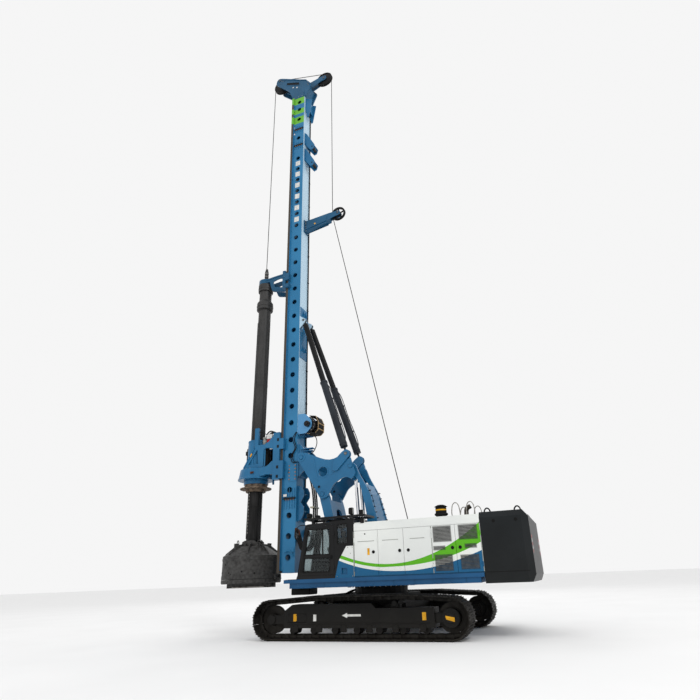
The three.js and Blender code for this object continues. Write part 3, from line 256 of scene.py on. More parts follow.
def rod(name, start, end, radius, sides=16, bevel=0.0, cone=None):
    """A round bar or tube between two points, its rims broken."""
    bpy.ops.object.select_all(action="DESELECT")
    start, end = at(*start), at(*end)
    axis = end - start
    bpy.ops.mesh.primitive_cone_add(
        vertices=sides, radius1=radius, depth=axis.length, radius2=radius if cone is None else cone)
    made = bpy.context.object
    made.name = made.data.name = name
    break_edges(bevel)
    made.data.transform(
        Matrix.Translation((start + end) / 2) @ axis.to_track_quat("Z", "Y").to_matrix().to_4x4())
    for face in made.data.polygons:
        face.use_smooth = len(face.vertices) == 4
    return made


def join(name, parts):
    """Several parts of one piece made a single mesh."""
    bpy.ops.object.select_all(action="DESELECT")
    for part in parts:
        part.select_set(True)
    bpy.context.view_layer.objects.active = parts[0]
    bpy.ops.object.join()
    made = bpy.context.object
    made.name = made.data.name = name
    return made


def repeat(name, source, places):
    """One modelled part copied to many places, given as matrices, in a single mesh."""
    import bmesh
    gathered = bmesh.new()
    for place in places:
        copy = source.data.copy()
        copy.transform(place)
        gathered.from_mesh(copy)
        bpy.data.meshes.remove(copy)
    gathered.to_mesh(source.data)
    gathered.free()
    source.name = source.data.name = name
    return source


def track_line(side, depth):
    """The chain's closed line at a depth below the grouser tips, in equal small steps."""
    low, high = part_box(f"track_{side}")
    radius = 0.51
    rear, front, rise = low.x + radius, high.x - radius, high.z - 2 * radius
    middle, reach = (rear + front) / 2, (front - rear) * 0.26
    r = radius - depth
    points = [(rear, depth), (front, depth)]
    points += [(front + r * math.sin(a), radius - r * math.cos(a))
               for a in [math.pi * i / 24 for i in range(1, 24)]]
    points += [(front, radius + r), (middle + reach, radius + r + rise),
               (middle - reach, radius + r + rise), (rear, radius + r)]
    points += [(rear - r * math.sin(a), radius + r * math.cos(a))
               for a in [math.pi * i / 24 for i in range(1, 24)]]
    return [Vector((x, 0, z)) for x, z in points]


def along(points, count):
    """Matrices at equal steps round a closed line: local X runs on, local Z points inwards."""
    ring = points + points[:1]
    lengths = [(b - a).length for a, b in zip(ring, ring[1:])]
    step = sum(lengths) / count
    places, index, gone = [], 0, 0.0
    for number in range(count):
        want = (number + 0.5) * step
        while gone + lengths[index] < want:
            gone += lengths[index]
            index += 1
        run = (ring[index + 1] - ring[index]).normalized()
        spot = ring[index] + run * (want - gone)
        inward = Vector((-run.z, 0, run.x))
        turn = Matrix((run, inward.cross(run), inward)).transposed().to_4x4()
        places.append(Matrix.Translation(spot) @ turn)
    return places


def make_track(side, y_sign):
    shoes, pitch, half = 58, 0.2318, 0.4
    middle = 1.8 * y_sign
    parts = [block(
        "pad", (-slew_x - pitch * 0.46, -half, 0.026), (-slew_x + pitch * 0.46, half, 0.048),
        bevel=0.003)]
    for x in (-0.085, 0.0, 0.085):
        parts.append(block(
            "grouser", (x - slew_x - 0.011, -half, 0.002), (x - slew_x + 0.011, half, 0.030),
            bevel=0.004))
    for y in (-0.1, 0.1):
        parts.append(block(
            "link", (-slew_x - pitch * 0.5, y - 0.028, 0.046),
            (-slew_x + pitch * 0.5, y + 0.028, 0.148), bevel=0.02))
        parts.append(rod("boss", (-slew_x + pitch * 0.5, y * 1.35 - 0.025, 0.1),
                         (-slew_x + pitch * 0.5, y * 1.35 + 0.025, 0.1), 0.045, sides=10))
    parts.append(rod("bushing", (-slew_x, -0.12, 0.1), (-slew_x, 0.12, 0.1), 0.033, sides=10))
    for x in (-0.045, 0.045):
        for y in (-0.1, 0.1):
            parts.append(rod("bolt", (x - slew_x, y, 0.012), (x - slew_x, y, 0.027), 0.017, 6))
    one = join("shoe", parts)
    line = [point + Vector((0, middle, 0)) for point in track_line(side, 0.0)]
    piece = repeat(f"track_chain_{side}", one, along(line, shoes))
    for vertex in piece.data.vertices:  # the first shoes off the ground bear on it with one edge
        vertex.co.z = max(vertex.co.z, 0.0)
    paint(piece, track_steel)
    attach(piece, "undercarriage")
    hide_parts(f"track_{side}")


make_track("left", 1)
make_track("right", -1)
for wheel in ("sprocket_left", "sprocket_right", "idler_left", "idler_right"):
    paint(wheel, track_steel)

# ------------------------------------------------------------------ undercarriage frames
# Welded box frames in satin black, grey with dust towards the ground. Each carries bolted roller
# guards, a round gear-case cover at the rear and blank yellow marker plates.
chassis_black = surface(
    "satin black chassis paint", (0.0055, 0.0055, 0.0052), (0.0035, 0.0035, 0.0034), size=2.2,
    rough=(0.35, 0.6), relief=0.0015, dust=(0.9, 0.1, earth, 0.18))
marker_yellow = surface(
    "yellow marker film", (0.80, 0.42, 0.02), (0.62, 0.30, 0.01), size=9, rough=(0.3, 0.5),
    dust=(1.3, 0.1, earth, 0.3))
marker_white = surface(
    "white marker film", (0.72, 0.72, 0.70), (0.55, 0.55, 0.52), size=9, rough=(0.3, 0.5))
for node in ("carbody", "track_frame_left", "track_frame_right"):
    paint(node, chassis_black)


def bolts(name, spots, radius, height, facing, sides=6):
    """Bolt heads at given spots, all facing one way, in one mesh."""
    seat = rod(
        name, (-slew_x, 0, -height * 0.4), (-slew_x, 0, height), radius, sides, bevel=radius * 0.18)
    turn = Vector(facing).to_track_quat("Z", "Y").to_matrix().to_4x4()
    return repeat(name, seat, [Matrix.Translation(at(*spot)) @ turn for spot in spots])


def ring_of(centre, radius, count, axis="y", start=0.0):
    """Spots at equal steps round a circle, for bolts and holes."""
    x, y, z = centre
    steps = [start + 2 * math.pi * i / count for i in range(count)]
    if axis == "y":
        return [(x + radius * math.cos(a), y, z + radius * math.sin(a)) for a in steps]
    if axis == "x":
        return [(x, y + radius * math.cos(a), z + radius * math.sin(a)) for a in steps]
    return [(x + radius * math.cos(a), y + radius * math.sin(a), z) for a in steps]


def in_hand(name, data):
    """A new part from its mesh or curve, the only one selected."""
    bpy.ops.object.select_all(action="DESELECT")
    made = bpy.data.objects.new(name, data)
    bpy.context.scene.collection.objects.link(made)
    made.select_set(True)
    bpy.context.view_layer.objects.active = made
    return made


def cut_face(name, outline, y):
    """One face cut to an outline of X and Z, facing sideways and open for editing."""
    mesh = bpy.data.meshes.new(name)
    mesh.from_pydata([at(x, y, z) for x, z in outline], [], [list(range(len(outline)))])
    made = in_hand(name, mesh)
    bpy.ops.object.mode_set(mode="EDIT")
    bpy.ops.mesh.select_all(action="SELECT")
    return made


def thickened(made, thickness):
    """A cut face pulled out sideways to a closed plate."""
    bpy.ops.mesh.select_all(action="SELECT")
    bpy.ops.mesh.extrude_region_move(TRANSFORM_OT_translate={"value": (0, thickness, 0)})
    bpy.ops.mesh.select_all(action="SELECT")
    bpy.ops.mesh.normals_make_consistent(inside=False)
    bpy.ops.object.mode_set(mode="OBJECT")
    return made


def flat(name, outline, y, thickness):
    """A flat plate cut to an outline of X and Z, facing sideways."""
    return thickened(cut_face(name, outline, y), thickness)


def dress_track_frame(side, y_sign):
    face = 2.05 * y_sign
    parts = []
    for x in [-1.8 + 0.72 * i for i in range(6)]:
        parts.append(block(
            "guard", (x - 0.09, face - 0.02 * y_sign, 0.20),
            (x + 0.09, face + 0.012 * y_sign, 0.38), bevel=0.006))
    parts.append(block(
        "rib", (-2.0, face - 0.02 * y_sign, 0.40), (2.0, face + 0.014 * y_sign, 0.43), bevel=0.004))
    parts.append(block(
        "cover", (1.45, face - 0.02 * y_sign, 0.44), (2.05, face + 0.01 * y_sign, 0.66),
        bevel=0.01))
    parts.append(flat("cover", [
        (-0.62, 0.47), (0.86, 0.47), (0.96, 0.52), (0.96, 0.72), (0.90, 0.76), (-0.56, 0.76),
        (-0.66, 0.70), (-0.66, 0.52)], face, 0.0025 * y_sign))
    for x in (1.05, -1.05):
        parts.append(rod(
            "roller", (x, 1.66 * y_sign, 0.86), (x, 1.97 * y_sign, 0.86), 0.075, 20, 0.012))
        parts.append(block(
            "saddle", (x - 0.10, 1.90 * y_sign, 0.76), (x + 0.10, 1.945 * y_sign, 0.87),
            bevel=0.012))
    guards = join(f"roller_guards_{side}", parts)
    paint(guards, chassis_black)
    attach(guards, "undercarriage")
    cover = rod(f"gear_case_{side}", (-2.545, 1.70 * y_sign, 0.51), (-2.545, 2.10 * y_sign, 0.51),
                0.235, 32, bevel=0.02)
    cap = rod("cap", (-2.545, 2.09 * y_sign, 0.51), (-2.545, 2.135 * y_sign, 0.51), 0.12, 24, 0.01)
    hub = rod("hub", (2.575, 1.93 * y_sign, 0.51), (2.575, 2.02 * y_sign, 0.51), 0.13, 24, 0.012)
    cover = join(f"gear_case_{side}", [cover, cap, hub])
    paint(cover, chassis_black)
    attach(cover, "undercarriage")
    spots = ring_of((-2.545, 2.10 * y_sign, 0.51), 0.19, 16)
    spots += [(x + dx, face + 0.012 * y_sign, z) for x in [-1.8 + 0.72 * i for i in range(6)]
              for dx in (-0.055, 0.055) for z in (0.235, 0.345)]
    spots += [(x, face + 0.01 * y_sign, z) for x in (1.50, 1.75, 2.0) for z in (0.475, 0.625)]
    heads = bolts(f"frame_bolts_{side}", spots, 0.016, 0.016, (0, y_sign, 0))
    paint(heads, chassis_black)
    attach(heads, "undercarriage")
    plates = [flat(
        "marker", [(x - 0.05, 0.47), (x + 0.05, 0.47), (x + 0.05, 0.65), (x - 0.05, 0.65)],
        face + rise * y_sign, 0.003 * y_sign) for x, rise in ((1.80, 0.0101), (-1.86, 0.0))]
    plates.append(flat(
        "marker", [(-2.42, 0.57), (-2.44, 0.49), (-2.65, 0.43), (-2.65, 0.53)], 2.1355 * y_sign,
        0.003 * y_sign))
    plates = join(f"marker_plates_{side}", plates)
    paint(plates, marker_yellow)
    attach(plates, "undercarriage")
    square = flat(
        "marker", [(1.16, 0.47), (1.25, 0.47), (1.25, 0.63), (1.16, 0.63)], face, 0.003 * y_sign)
    arrow = flat("arrow", [
        (0.40, 0.60), (0.25, 0.66), (0.25, 0.626), (-0.14, 0.626), (-0.14, 0.574), (0.25, 0.574),
        (0.25, 0.54)], face + 0.0026 * y_sign, 0.003 * y_sign)
    arrow = paint(
        join(f"direction_arrow_{side}", [arrow, square]), marker_white)
    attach(arrow, "undercarriage")


dress_track_frame("left", 1)
dress_track_frame("right", -1)

# ------------------------------------------------------------------ deck and slewing ring
# A welded deck in gloss blue turns on a ring of bolts. Bent-bar tie-down loops hang under its
# edge, and a pressed tread plate covers the walkway at the front.
deck_blue = surface(
    "gloss deck blue", (0.010, 0.095, 0.235), (0.007, 0.078, 0.200), size=1.5, rough=(0.22, 0.42),
    relief=0.0006, coat=0.12, dust=(3.0, 1.1, earth, 0.12))
rubber = surface(
    "black rubber", (0.011, 0.011, 0.011), (0.007, 0.007, 0.007), size=12, rough=(0.55, 0.8),
    relief=0.0008)
grease = surface(
    "greased steel", (0.060, 0.048, 0.036), (0.022, 0.018, 0.015), size=4, rough=(0.25, 0.6),
    metal=0.4, relief=0.002, stretch=(1, 1, 0.25))
paint("turntable", deck_blue)


def pipe(name, route, radius, sides=3, smooth=True):
    """A bent bar, pipe or hose through given points, as a mesh tube with closed ends."""
    curve = bpy.data.curves.new(name, "CURVE")
    curve.dimensions, curve.bevel_depth = "3D", radius
    curve.bevel_resolution, curve.resolution_u, curve.use_fill_caps = sides, 6, True
    line = curve.splines.new("BEZIER" if smooth else "POLY")
    knots = line.bezier_points if smooth else line.points
    knots.add(len(route) - 1)
    for knot, spot in zip(knots, route):
        if smooth:
            knot.co = at(*spot)
            knot.handle_left_type = knot.handle_right_type = "AUTO"
        else:
            knot.co = (*at(*spot), 1)
    made = in_hand(name, curve)
    bpy.ops.object.convert(target="MESH")
    for face in made.data.polygons:
        face.use_smooth = len(face.vertices) == 4
    return made


def dress_deck():
    loops = []
    for y_sign in (1, -1):
        y = 1.46 * y_sign
        for x in (1.95, 1.55, -0.2, -2.15, -2.6):
            loops.append(pipe("loop", [
                (x - 0.13, y, 1.43), (x - 0.12, y, 1.36), (x - 0.06, y, 1.31), (x + 0.06, y, 1.31),
                (x + 0.12, y, 1.36), (x + 0.13, y, 1.43)], 0.016))
    loops = paint(join("tie_down_loops", loops), deck_blue)
    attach(loops, "upper")
    lips = [block("lip", (-3.39, y0, 1.425), (2.51, y1, 1.44), bevel=0.004)
            for y0, y1 in ((1.47, 1.499), (-1.499, -1.47))]
    lips += [block(
        "gusset", (x - 0.008, y_sign * 1.30, 1.30), (x + 0.008, y_sign * 1.47, 1.42), bevel=0.002)
        for x in (1.2, 0.5, -0.9, -1.5, -2.9) for y_sign in (1, -1)]
    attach(paint(join("deck_lips", lips), deck_blue), "upper")
    studs = bolts("slew_ring_bolts", ring_of((0, 0, 1.262), 1.0, 40, "z"), 0.022, 0.03, (0, 0, 1))
    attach(paint(studs, bolt_steel), "undercarriage")
    tread = block("walkway_tread", (2.06, 0.70, 1.5205), (2.48, 1.46, 1.526), bevel=0.002)
    ribs = [block(
        "rib", (2.10 + 0.06 * i, 0.74, 1.525), (2.12 + 0.06 * i, 1.42, 1.531), bevel=0.002)
        for i in range(6)]
    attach(paint(join("walkway_tread", [tread, *ribs]), chassis_black), "upper")
    swivel = rod("swivel_housing", (0, 0, 1.05), (0, 0, 1.278), 0.30, 28, bevel=0.02)
    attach(paint(swivel, grease), "undercarriage")
    hoses = [pipe(
        "hose", [(0.28, y, 1.16), (0.6, y * 1.4, 1.20), (1.0, y * 2.2, 1.05),
        (1.02, y * 3.0, 0.92)], 0.028) for y in (0.12, 0.22, -0.12, -0.22)]
    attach(paint(join("travel_hoses", hoses), rubber), "undercarriage")
    block_front = block("boarding_step", (1.83, 0.62, 1.10), (2.45, 1.15, 1.28), bevel=0.02)
    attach(paint(block_front, chassis_black), "upper")


dress_deck()

# ------------------------------------------------------------------ hoods and their doors
# Pressed steel hoods in gloss white over a curved green band, with a white line and a blue foot.
# The paint is sprayed after fitting, so the bands run on from door to door.


def banded_paint():
    """White above, green between two curves, then white, then blue, by height and length."""
    material = surface(
        "gloss hood white", (0.80, 0.82, 0.79), (0.74, 0.76, 0.74), size=0.8, rough=(0.18, 0.34),
        relief=0.0005, coat=0.15, dust=(3.0, 1.3, earth, 0.06))
    nodes, links = material.node_tree.nodes, material.node_tree.links
    place = nodes.new("ShaderNodeTexCoord")
    split = nodes.new("ShaderNodeSeparateXYZ")
    links.new(place.outputs["Object"], split.inputs["Vector"])

    def sum_of(kind, first, second):
        node = nodes.new("ShaderNodeMath")
        node.operation = kind
        for socket, value in zip(node.inputs, (first, second)):
            if isinstance(value, float):
                socket.default_value = value
            else:
                links.new(value, socket)
        return node.outputs["Value"]

    def under(middle, least, ahead, ahead_power, behind, behind_power):
        """1 below a curve that is lowest at one length and rises both ways from there."""
        run = sum_of("SUBTRACT", split.outputs["X"], middle + slew_x)
        front = sum_of("MULTIPLY", sum_of("POWER", sum_of("MAXIMUM", run, 0.0), ahead_power), ahead)
        back = sum_of("MAXIMUM", sum_of("MULTIPLY", run, -1.0), 0.0)
        back = sum_of("MULTIPLY", sum_of("POWER", back, behind_power), behind)
        height = sum_of("ADD", sum_of("ADD", front, back), least)
        return sum_of("LESS_THAN", split.outputs["Z"], height)

    laid_over(material, (0.10, 0.42, 0.012), under(-0.8225, 1.831, 0.135, 1.98, 0.138, 2.03))
    laid_over(material, (0.80, 0.82, 0.79), under(-0.655, 1.755, 0.170, 1.70, 0.040, 2.54))
    laid_over(material, (0.008, 0.105, 0.235), under(-1.32, 1.639, 0.060, 2.45, 0.116, 1.80))
    return material


hood_paint = banded_paint()
hood_nodes = [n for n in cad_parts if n.startswith(("hood_", "engine_hood"))]
for node in hood_nodes:
    paint(node, hood_paint)
seam_grey = surface(
    "grey door seal", (0.36, 0.37, 0.34), (0.27, 0.28, 0.26), size=6, rough=(0.5, 0.7))
vent_dark = surface(
    "dark vent mesh and painted vent shade", (0.10, 0.10, 0.095), (0.05, 0.05, 0.048), size=9, rough=(0.4, 0.6), metal=0.3,
    relief=0.001)
cast_grey = surface(
    "engine castings", (0.11, 0.11, 0.10), (0.05, 0.05, 0.05), size=6, rough=(0.4, 0.65), metal=0.4,
    relief=0.003)
paint("engine_block", cast_grey)


def louvres(name, x0, x1, z0, z1, y, out, pitch=0.034):
    """A pressed frame with sloping slats, let into a door: outside at y, facing out."""
    rim = 0.018
    parts = [
        block("rim", (x0 - rim, y, z0 - rim), (x1 + rim, y + 0.006 * out, z0), bevel=0.002),
        block("rim", (x0 - rim, y, z1), (x1 + rim, y + 0.006 * out, z1 + rim), bevel=0.002),
        block("rim", (x0 - rim, y, z0), (x0, y + 0.006 * out, z1), bevel=0.002),
        block("rim", (x1, y, z0), (x1 + rim, y + 0.006 * out, z1), bevel=0.002)]
    slat = block("slat", (x0, y, -0.006), (x1, y + 0.010 * out, 0.006), bevel=0.003)
    count = max(2, round((z1 - z0) / pitch))
    step = (z1 - z0) / count
    slats = repeat("slats", slat, [
        Matrix.Translation((0, 0, z0 + step * (i + 0.5))) for i in range(count)])
    return join(name, [*parts, slats])


def dress_hood_side(hand, y_sign, doors):
    """Locks, vents, seals and pressed ribs of one side's doors, each on its own door."""
    y = 1.5005 * y_sign
    for number, door in enumerate(doors, 1):
        body = f"hood_door_{hand}_{number}"
        lock_x, vents, ribs = door
        knob = rod(
            "knob", (lock_x, y, 2.165), (lock_x, y + 0.012 * y_sign, 2.165), 0.045, 20, 0.005)
        grip = block(
            "grip", (lock_x - 0.012, y, 2.135), (lock_x + 0.012, y + 0.019 * y_sign, 2.195),
            bevel=0.005)
        lock = paint(join(f"lock_{hand}_{number}", [knob, grip]), rubber)
        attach(lock, body)
        grilles = [louvres("vent", x0, x1, z0, z1, y, y_sign) for x0, x1, z0, z1 in vents]
        if grilles:
            # Dark sheets behind the slats: painted shade standing for the vent openings.
            backs = [block("back", (x0, y - 0.002 * y_sign, z0), (x1, y + 0.002 * y_sign, z1),
                           bevel=0) for x0, x1, z0, z1 in vents]
            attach(paint(
                join(f"vent_shade_backs_{hand}_{number}", backs), vent_dark), body)
            vent = paint(join(f"vents_{hand}_{number}", grilles), shaded_vent_paint)
            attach(vent, body)
        if ribs:
            lines = [block(
                "rib", (x0, y, z - 0.008), (x1, y + 0.005 * y_sign, z + 0.008), bevel=0.002)
                for x0, x1, z in ribs]
            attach(paint(
                join(f"pressed_ribs_{hand}_{number}", lines), seam_grey), body)


# The louvre slats take the hood paint darkened 62 % towards near black: painted shade on the slats.
shaded_vent_paint = banded_paint()
shaded_vent_paint.name = "vent paint with painted shade"
vent_shader = shaded_vent_paint.node_tree.nodes["Principled BSDF"]
vent_shade_mix = shaded_vent_paint.node_tree.nodes.new("ShaderNodeMix")
vent_shade_mix.data_type = "RGBA"
vent_shade_mix.inputs["Factor"].default_value = 0.62
vent_shade_mix.inputs["B"].default_value = (0.035, 0.035, 0.032, 1)
shaded_vent_paint.node_tree.links.new(
    vent_shader.inputs["Base Color"].links[0].from_socket, vent_shade_mix.inputs["A"])
shaded_vent_paint.node_tree.links.new(vent_shade_mix.outputs["Result"], vent_shader.inputs["Base Color"])
engine_door_front = (-2.62, [
    (-2.60, -2.12, 2.34, 2.72), (-2.41, -2.11, 2.135, 2.21), (-2.59, -2.13, 1.61, 1.99)], [])
engine_door_rear = (-2.83, [
    (-3.31, -2.83, 2.37, 2.72), (-3.26, -2.97, 2.15, 2.23), (-3.29, -2.83, 1.63, 1.96)], [])
dress_hood_side("left", 1, [
    (-0.35, [], [(-0.38, 0.13, 2.46)]), (-1.13, [], [(-1.10, -0.62, 2.46)]),
    (-1.38, [], [(-1.86, -1.44, 2.46)]), engine_door_front, engine_door_rear])
dress_hood_side("right", -1, [
    (-0.78, [], [(-0.78, 0.1, 2.46)]), (-1.04, [], [(-1.9, -1.14, 2.46)]), engine_door_front,
    engine_door_rear])


def dress_hood_tops():
    """Seals between doors, roof rails, the air pre-cleaner, the exhaust and lifting points."""
    seals = [block("seal", (x - 0.012, y0, 1.55), (x + 0.012, y1, 2.75), bevel=0.003)
             for x in (-2.059, -3.402, 0.252) for y0, y1 in ((1.492, 1.5035), (-1.5035, -1.492))]
    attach(paint(join("hood_seals", seals), seam_grey), "upper")
    rails = []
    for x in (-2.62, -3.05):
        for y in (0.62, -0.62):
            rails.append(pipe("rail", [
                (x - 0.12, y, 2.99), (x - 0.11, y, 3.26), (x - 0.06, y, 3.40), (x, y, 3.43),
                (x + 0.06, y, 3.40), (x + 0.11, y, 3.26), (x + 0.12, y, 2.99)], 0.014))
    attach(paint(join("roof_rails", rails), bolt_steel), "upper")
    x, y = -2.12, 0.35
    cleaner = [
        rod("stem", (x, y, 2.99), (x, y, 3.08), 0.10, 20),
        rod("bowl", (x, y, 3.07), (x, y, 3.16), 0.13, 24, 0.01, cone=0.19),
        rod("drum", (x, y, 3.15), (x, y, 3.36), 0.165, 24, 0.012),
        rod("ring", (x, y, 3.13), (x, y, 3.19), 0.20, 24, 0.012),
        rod("cap", (x, y, 3.375), (x, y, 3.43), 0.205, 24, 0.008, cone=0.10),
        rod("neck", (x, y, 3.34), (x, y, 3.39), 0.09, 16)]
    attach(paint(join("air_pre_cleaner", cleaner), rubber), "upper")
    band = rod("pre_cleaner_band", (x, y, 3.26), (x, y, 3.30), 0.1665, 24, 0.001)
    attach(paint(band, marker_yellow), "upper")
    stack = pipe("exhaust_pipe", [
        (-2.75, -0.3, 2.95), (-2.75, -0.3, 3.2), (-2.78, -0.3, 3.34), (-2.9, -0.3, 3.41)], 0.07,
        sides=6)
    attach(paint(stack, grease), "upper")
    lids = [block(
        "lid", (x0, -0.58, 2.988), (x0 + 0.52, 0.58, 3.012), bevel=0.008) for x0 in (-3.34, -2.74)]
    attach(paint(join("radiator_lids", lids), vent_dark), "upper")


dress_hood_tops()

# ------------------------------------------------------------------ counterweight
# A cast block in satin anthracite with four lifting eyes, round plugs over its fixing bolts, a
# towing slot on its rear face and red and white reflector strips.
anthracite = surface(
    "satin anthracite paint", (0.0120, 0.0145, 0.0160), (0.0090, 0.0110, 0.0120), size=1.2,
    rough=(0.32, 0.5), relief=0.0012, dust=(3.0, 1.2, earth, 0.10))


def within(material, low, high):
    """A shader mask that is one between two corners of a box given in the row's frame."""
    nodes, links = material.node_tree.nodes, material.node_tree.links
    place = nodes.new("ShaderNodeTexCoord")
    split = nodes.new("ShaderNodeSeparateXYZ")
    links.new(place.outputs["Object"], split.inputs["Vector"])
    mask = None
    for axis, least, most in zip("XYZ", low, high):
        for kind, limit in (("GREATER_THAN", least), ("LESS_THAN", most)):
            test = nodes.new("ShaderNodeMath")
            test.operation = kind
            test.inputs[1].default_value = limit
            links.new(split.outputs[axis], test.inputs[0])
            if mask is None:
                mask = test.outputs["Value"]
            else:
                both = nodes.new("ShaderNodeMath")
                both.operation = "MULTIPLY"
                links.new(mask, both.inputs[0])
                links.new(test.outputs["Value"], both.inputs[1])
                mask = both.outputs["Value"]
    return mask


def coloured_within(material, tint, low, high):
    """Lays a flat colour over a material between two corners of a box."""
    laid_over(material, tint, within(material, low, high))


def counterweight_paint():
    """Anthracite with a towing slot in painted shade and banded reflective strips on its rear face.
    """
    material = surface(
        "counterweight paint", (0.0120, 0.0145, 0.0160), (0.0090, 0.0110, 0.0120), size=1.2,
        rough=(0.32, 0.5), relief=0.0012, dust=(3.0, 1.2, earth, 0.06))
    rear = cad_low.x
    for y_sign in (1, -1):
        for i in range(5):
            z, y = 1.95 + 0.09 * i, 1.10 * y_sign
            coloured_within(material, (0.62, 0.62, 0.60) if i % 2 else (0.45, 0.02, 0.02),
                            (rear - 0.01, y - 0.06, z), (rear + 0.002, y + 0.06, z + 0.085))
    # Painted shade: a near-black patch stands for the shadowed inside of the towing slot.
    coloured_within(
        material, (0.004, 0.004, 0.004), (rear - 0.01, -0.25, 1.75), (rear + 0.002, 0.25, 1.90))
    return material


paint("counterweight", counterweight_paint())


def dress_counterweight():
    eyes, plugs = [], []
    for y_sign in (1, -1):
        for x in (-3.62, -4.42):
            y = 1.30 * y_sign
            eyes.append(pipe("eye", [
                (x - 0.085, y, 3.02), (x - 0.06, y, 3.09), (x, y, 3.13), (x + 0.06, y, 3.09),
                (x + 0.085, y, 3.02)], 0.02))
        for x in (-3.78, -4.36):
            plugs.append(rod(
                "plug", (x, 1.495 * y_sign, 2.78), (x, 1.508 * y_sign, 2.78), 0.045, 20, 0.006))
        plugs.append(block(
            "line", (-4.55, 1.497 * y_sign, 1.52), (-3.45, 1.503 * y_sign, 1.535), bevel=0.002))
    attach(paint(join("lifting_eyes", eyes), anthracite), "upper")
    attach(paint(join("fixing_plugs", plugs), chassis_black), "upper")


dress_counterweight()

# ------------------------------------------------------------------ cab
# A pressed steel cab in satin black, with tinted panes set in rubber, a roof guard of welded bars,
# work lamps, a mirror and a sprung seat. The small panel under its rear corner is hood steel.
cab_black = surface(
    "satin black cab paint", (0.0085, 0.0090, 0.0100), (0.0050, 0.0054, 0.0060), size=1.6,
    rough=(0.28, 0.45), relief=0.0006, coat=0.05, dust=(2.6, 1.4, earth, 0.10))
for node in ("cab_shell", "cab_door", "roof_guard"):
    paint(node, cab_black)
for node in ("side_panel", "fuel_tank"):
    paint(node, hood_paint)


def glazing(name, tint, clear):
    """Tinted safety glass with a faint film of dust."""
    material = surface(name, tint, tuple(v * 0.9 for v in tint), size=2.5, rough=(0.0, 0.03))
    shader = material.node_tree.nodes["Principled BSDF"]
    shader.inputs["Transmission Weight"].default_value = clear
    shader.inputs["IOR"].default_value = 1.22
    return material


tinted_glass = glazing("tinted cab glass", (0.50, 0.56, 0.57), 0.97)
mirror_glass = surface(
    "mirror glass", (0.62, 0.64, 0.66), (0.52, 0.54, 0.56), size=3, rough=(0.02, 0.08), metal=1.0)
lamp_glass = surface(
    "lamp glass", (0.30, 0.30, 0.28), (0.18, 0.18, 0.17), size=60, rough=(0.05, 0.2), coat=0.6)
seat_cloth = surface(
    "woven seat cloth", (0.040, 0.041, 0.045), (0.020, 0.020, 0.023), size=40, rough=(0.7, 0.95),
    relief=0.002)
console_plastic = surface(
    "moulded console plastic", (0.050, 0.050, 0.052), (0.035, 0.035, 0.037), size=24,
    rough=(0.5, 0.65), relief=0.0008)
paint("windscreen", tinted_glass)


def sheet_of(name, corners, y, thickness, rounding, rim=0.0):
    """A pane or, with a rim, the rubber frame round it: rounded corners, facing sideways."""
    made = cut_face(name, corners, y)
    bpy.ops.mesh.bevel(offset=rounding, segments=5, affect="VERTICES")
    if rim:
        bpy.ops.mesh.select_all(action="SELECT")
        bpy.ops.mesh.inset(thickness=rim)
        bpy.ops.mesh.delete(type="FACE")
    return thickened(made, thickness)


def grown(corners, by):
    """Corners of a window moved out from its middle."""
    cx, cz = (sum(c[i] for c in corners) / len(corners) for i in (0, 1))
    return [(x + math.copysign(by, x - cx), z + math.copysign(by, z - cz)) for x, z in corners]


def dress_cab_windows():
    door = {"upper": [(1.02, 2.17), (1.81, 2.17), (1.73, 2.88), (1.02, 2.88)],
            "lower": [(1.02, 1.70), (1.88, 1.70), (1.825, 2.08), (1.02, 2.08)]}
    panes, seals = [], []
    for corners in door.values():
        panes.append(sheet_of("pane", corners, 1.476, 0.006, 0.05))
        seals.append(sheet_of("seal", grown(corners, 0.022), 1.4985, 0.006, 0.06, rim=0.034))
    bar = block("mullion", (1.225, 1.470, 2.17), (1.265, 1.495, 2.88), bevel=0.005)
    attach(paint(join("door_panes", panes), tinted_glass), "cab_door")
    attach(paint(join("door_window_seals", [*seals, bar]), rubber), "cab_door")
    quarter = [(0.45, 2.44), (0.77, 2.44), (0.77, 2.97), (0.45, 2.985)]
    right = [(0.56, 2.45), (0.90, 2.08), (1.78, 2.08), (1.66, 2.94), (0.56, 2.96)]
    panes = [
        sheet_of("pane", quarter, 1.476, 0.006, 0.05),
        sheet_of("pane", right, 0.675, 0.006, 0.05),
        block("pane", (0.268, 0.77, 2.49), (0.274, 1.39, 2.95), bevel=0.001)]
    seals = [sheet_of("seal", grown(quarter, 0.022), 1.4985, 0.006, 0.06, rim=0.034),
             sheet_of("seal", grown(right, 0.022), 0.654, 0.006, 0.06, rim=0.034)]
    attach(paint(join("cab_panes", panes), tinted_glass), "upper")
    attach(paint(join("cab_window_seals", seals), rubber), "upper")


def oval(disc, y, z):
    """Makes a mirror's disc taller than wide, round its middle."""
    taller, narrower = 1.25, 0.72
    for vertex in disc.data.vertices:
        vertex.co.z = z + (vertex.co.z - z) * taller
        vertex.co.y = y + (vertex.co.y - y) * narrower


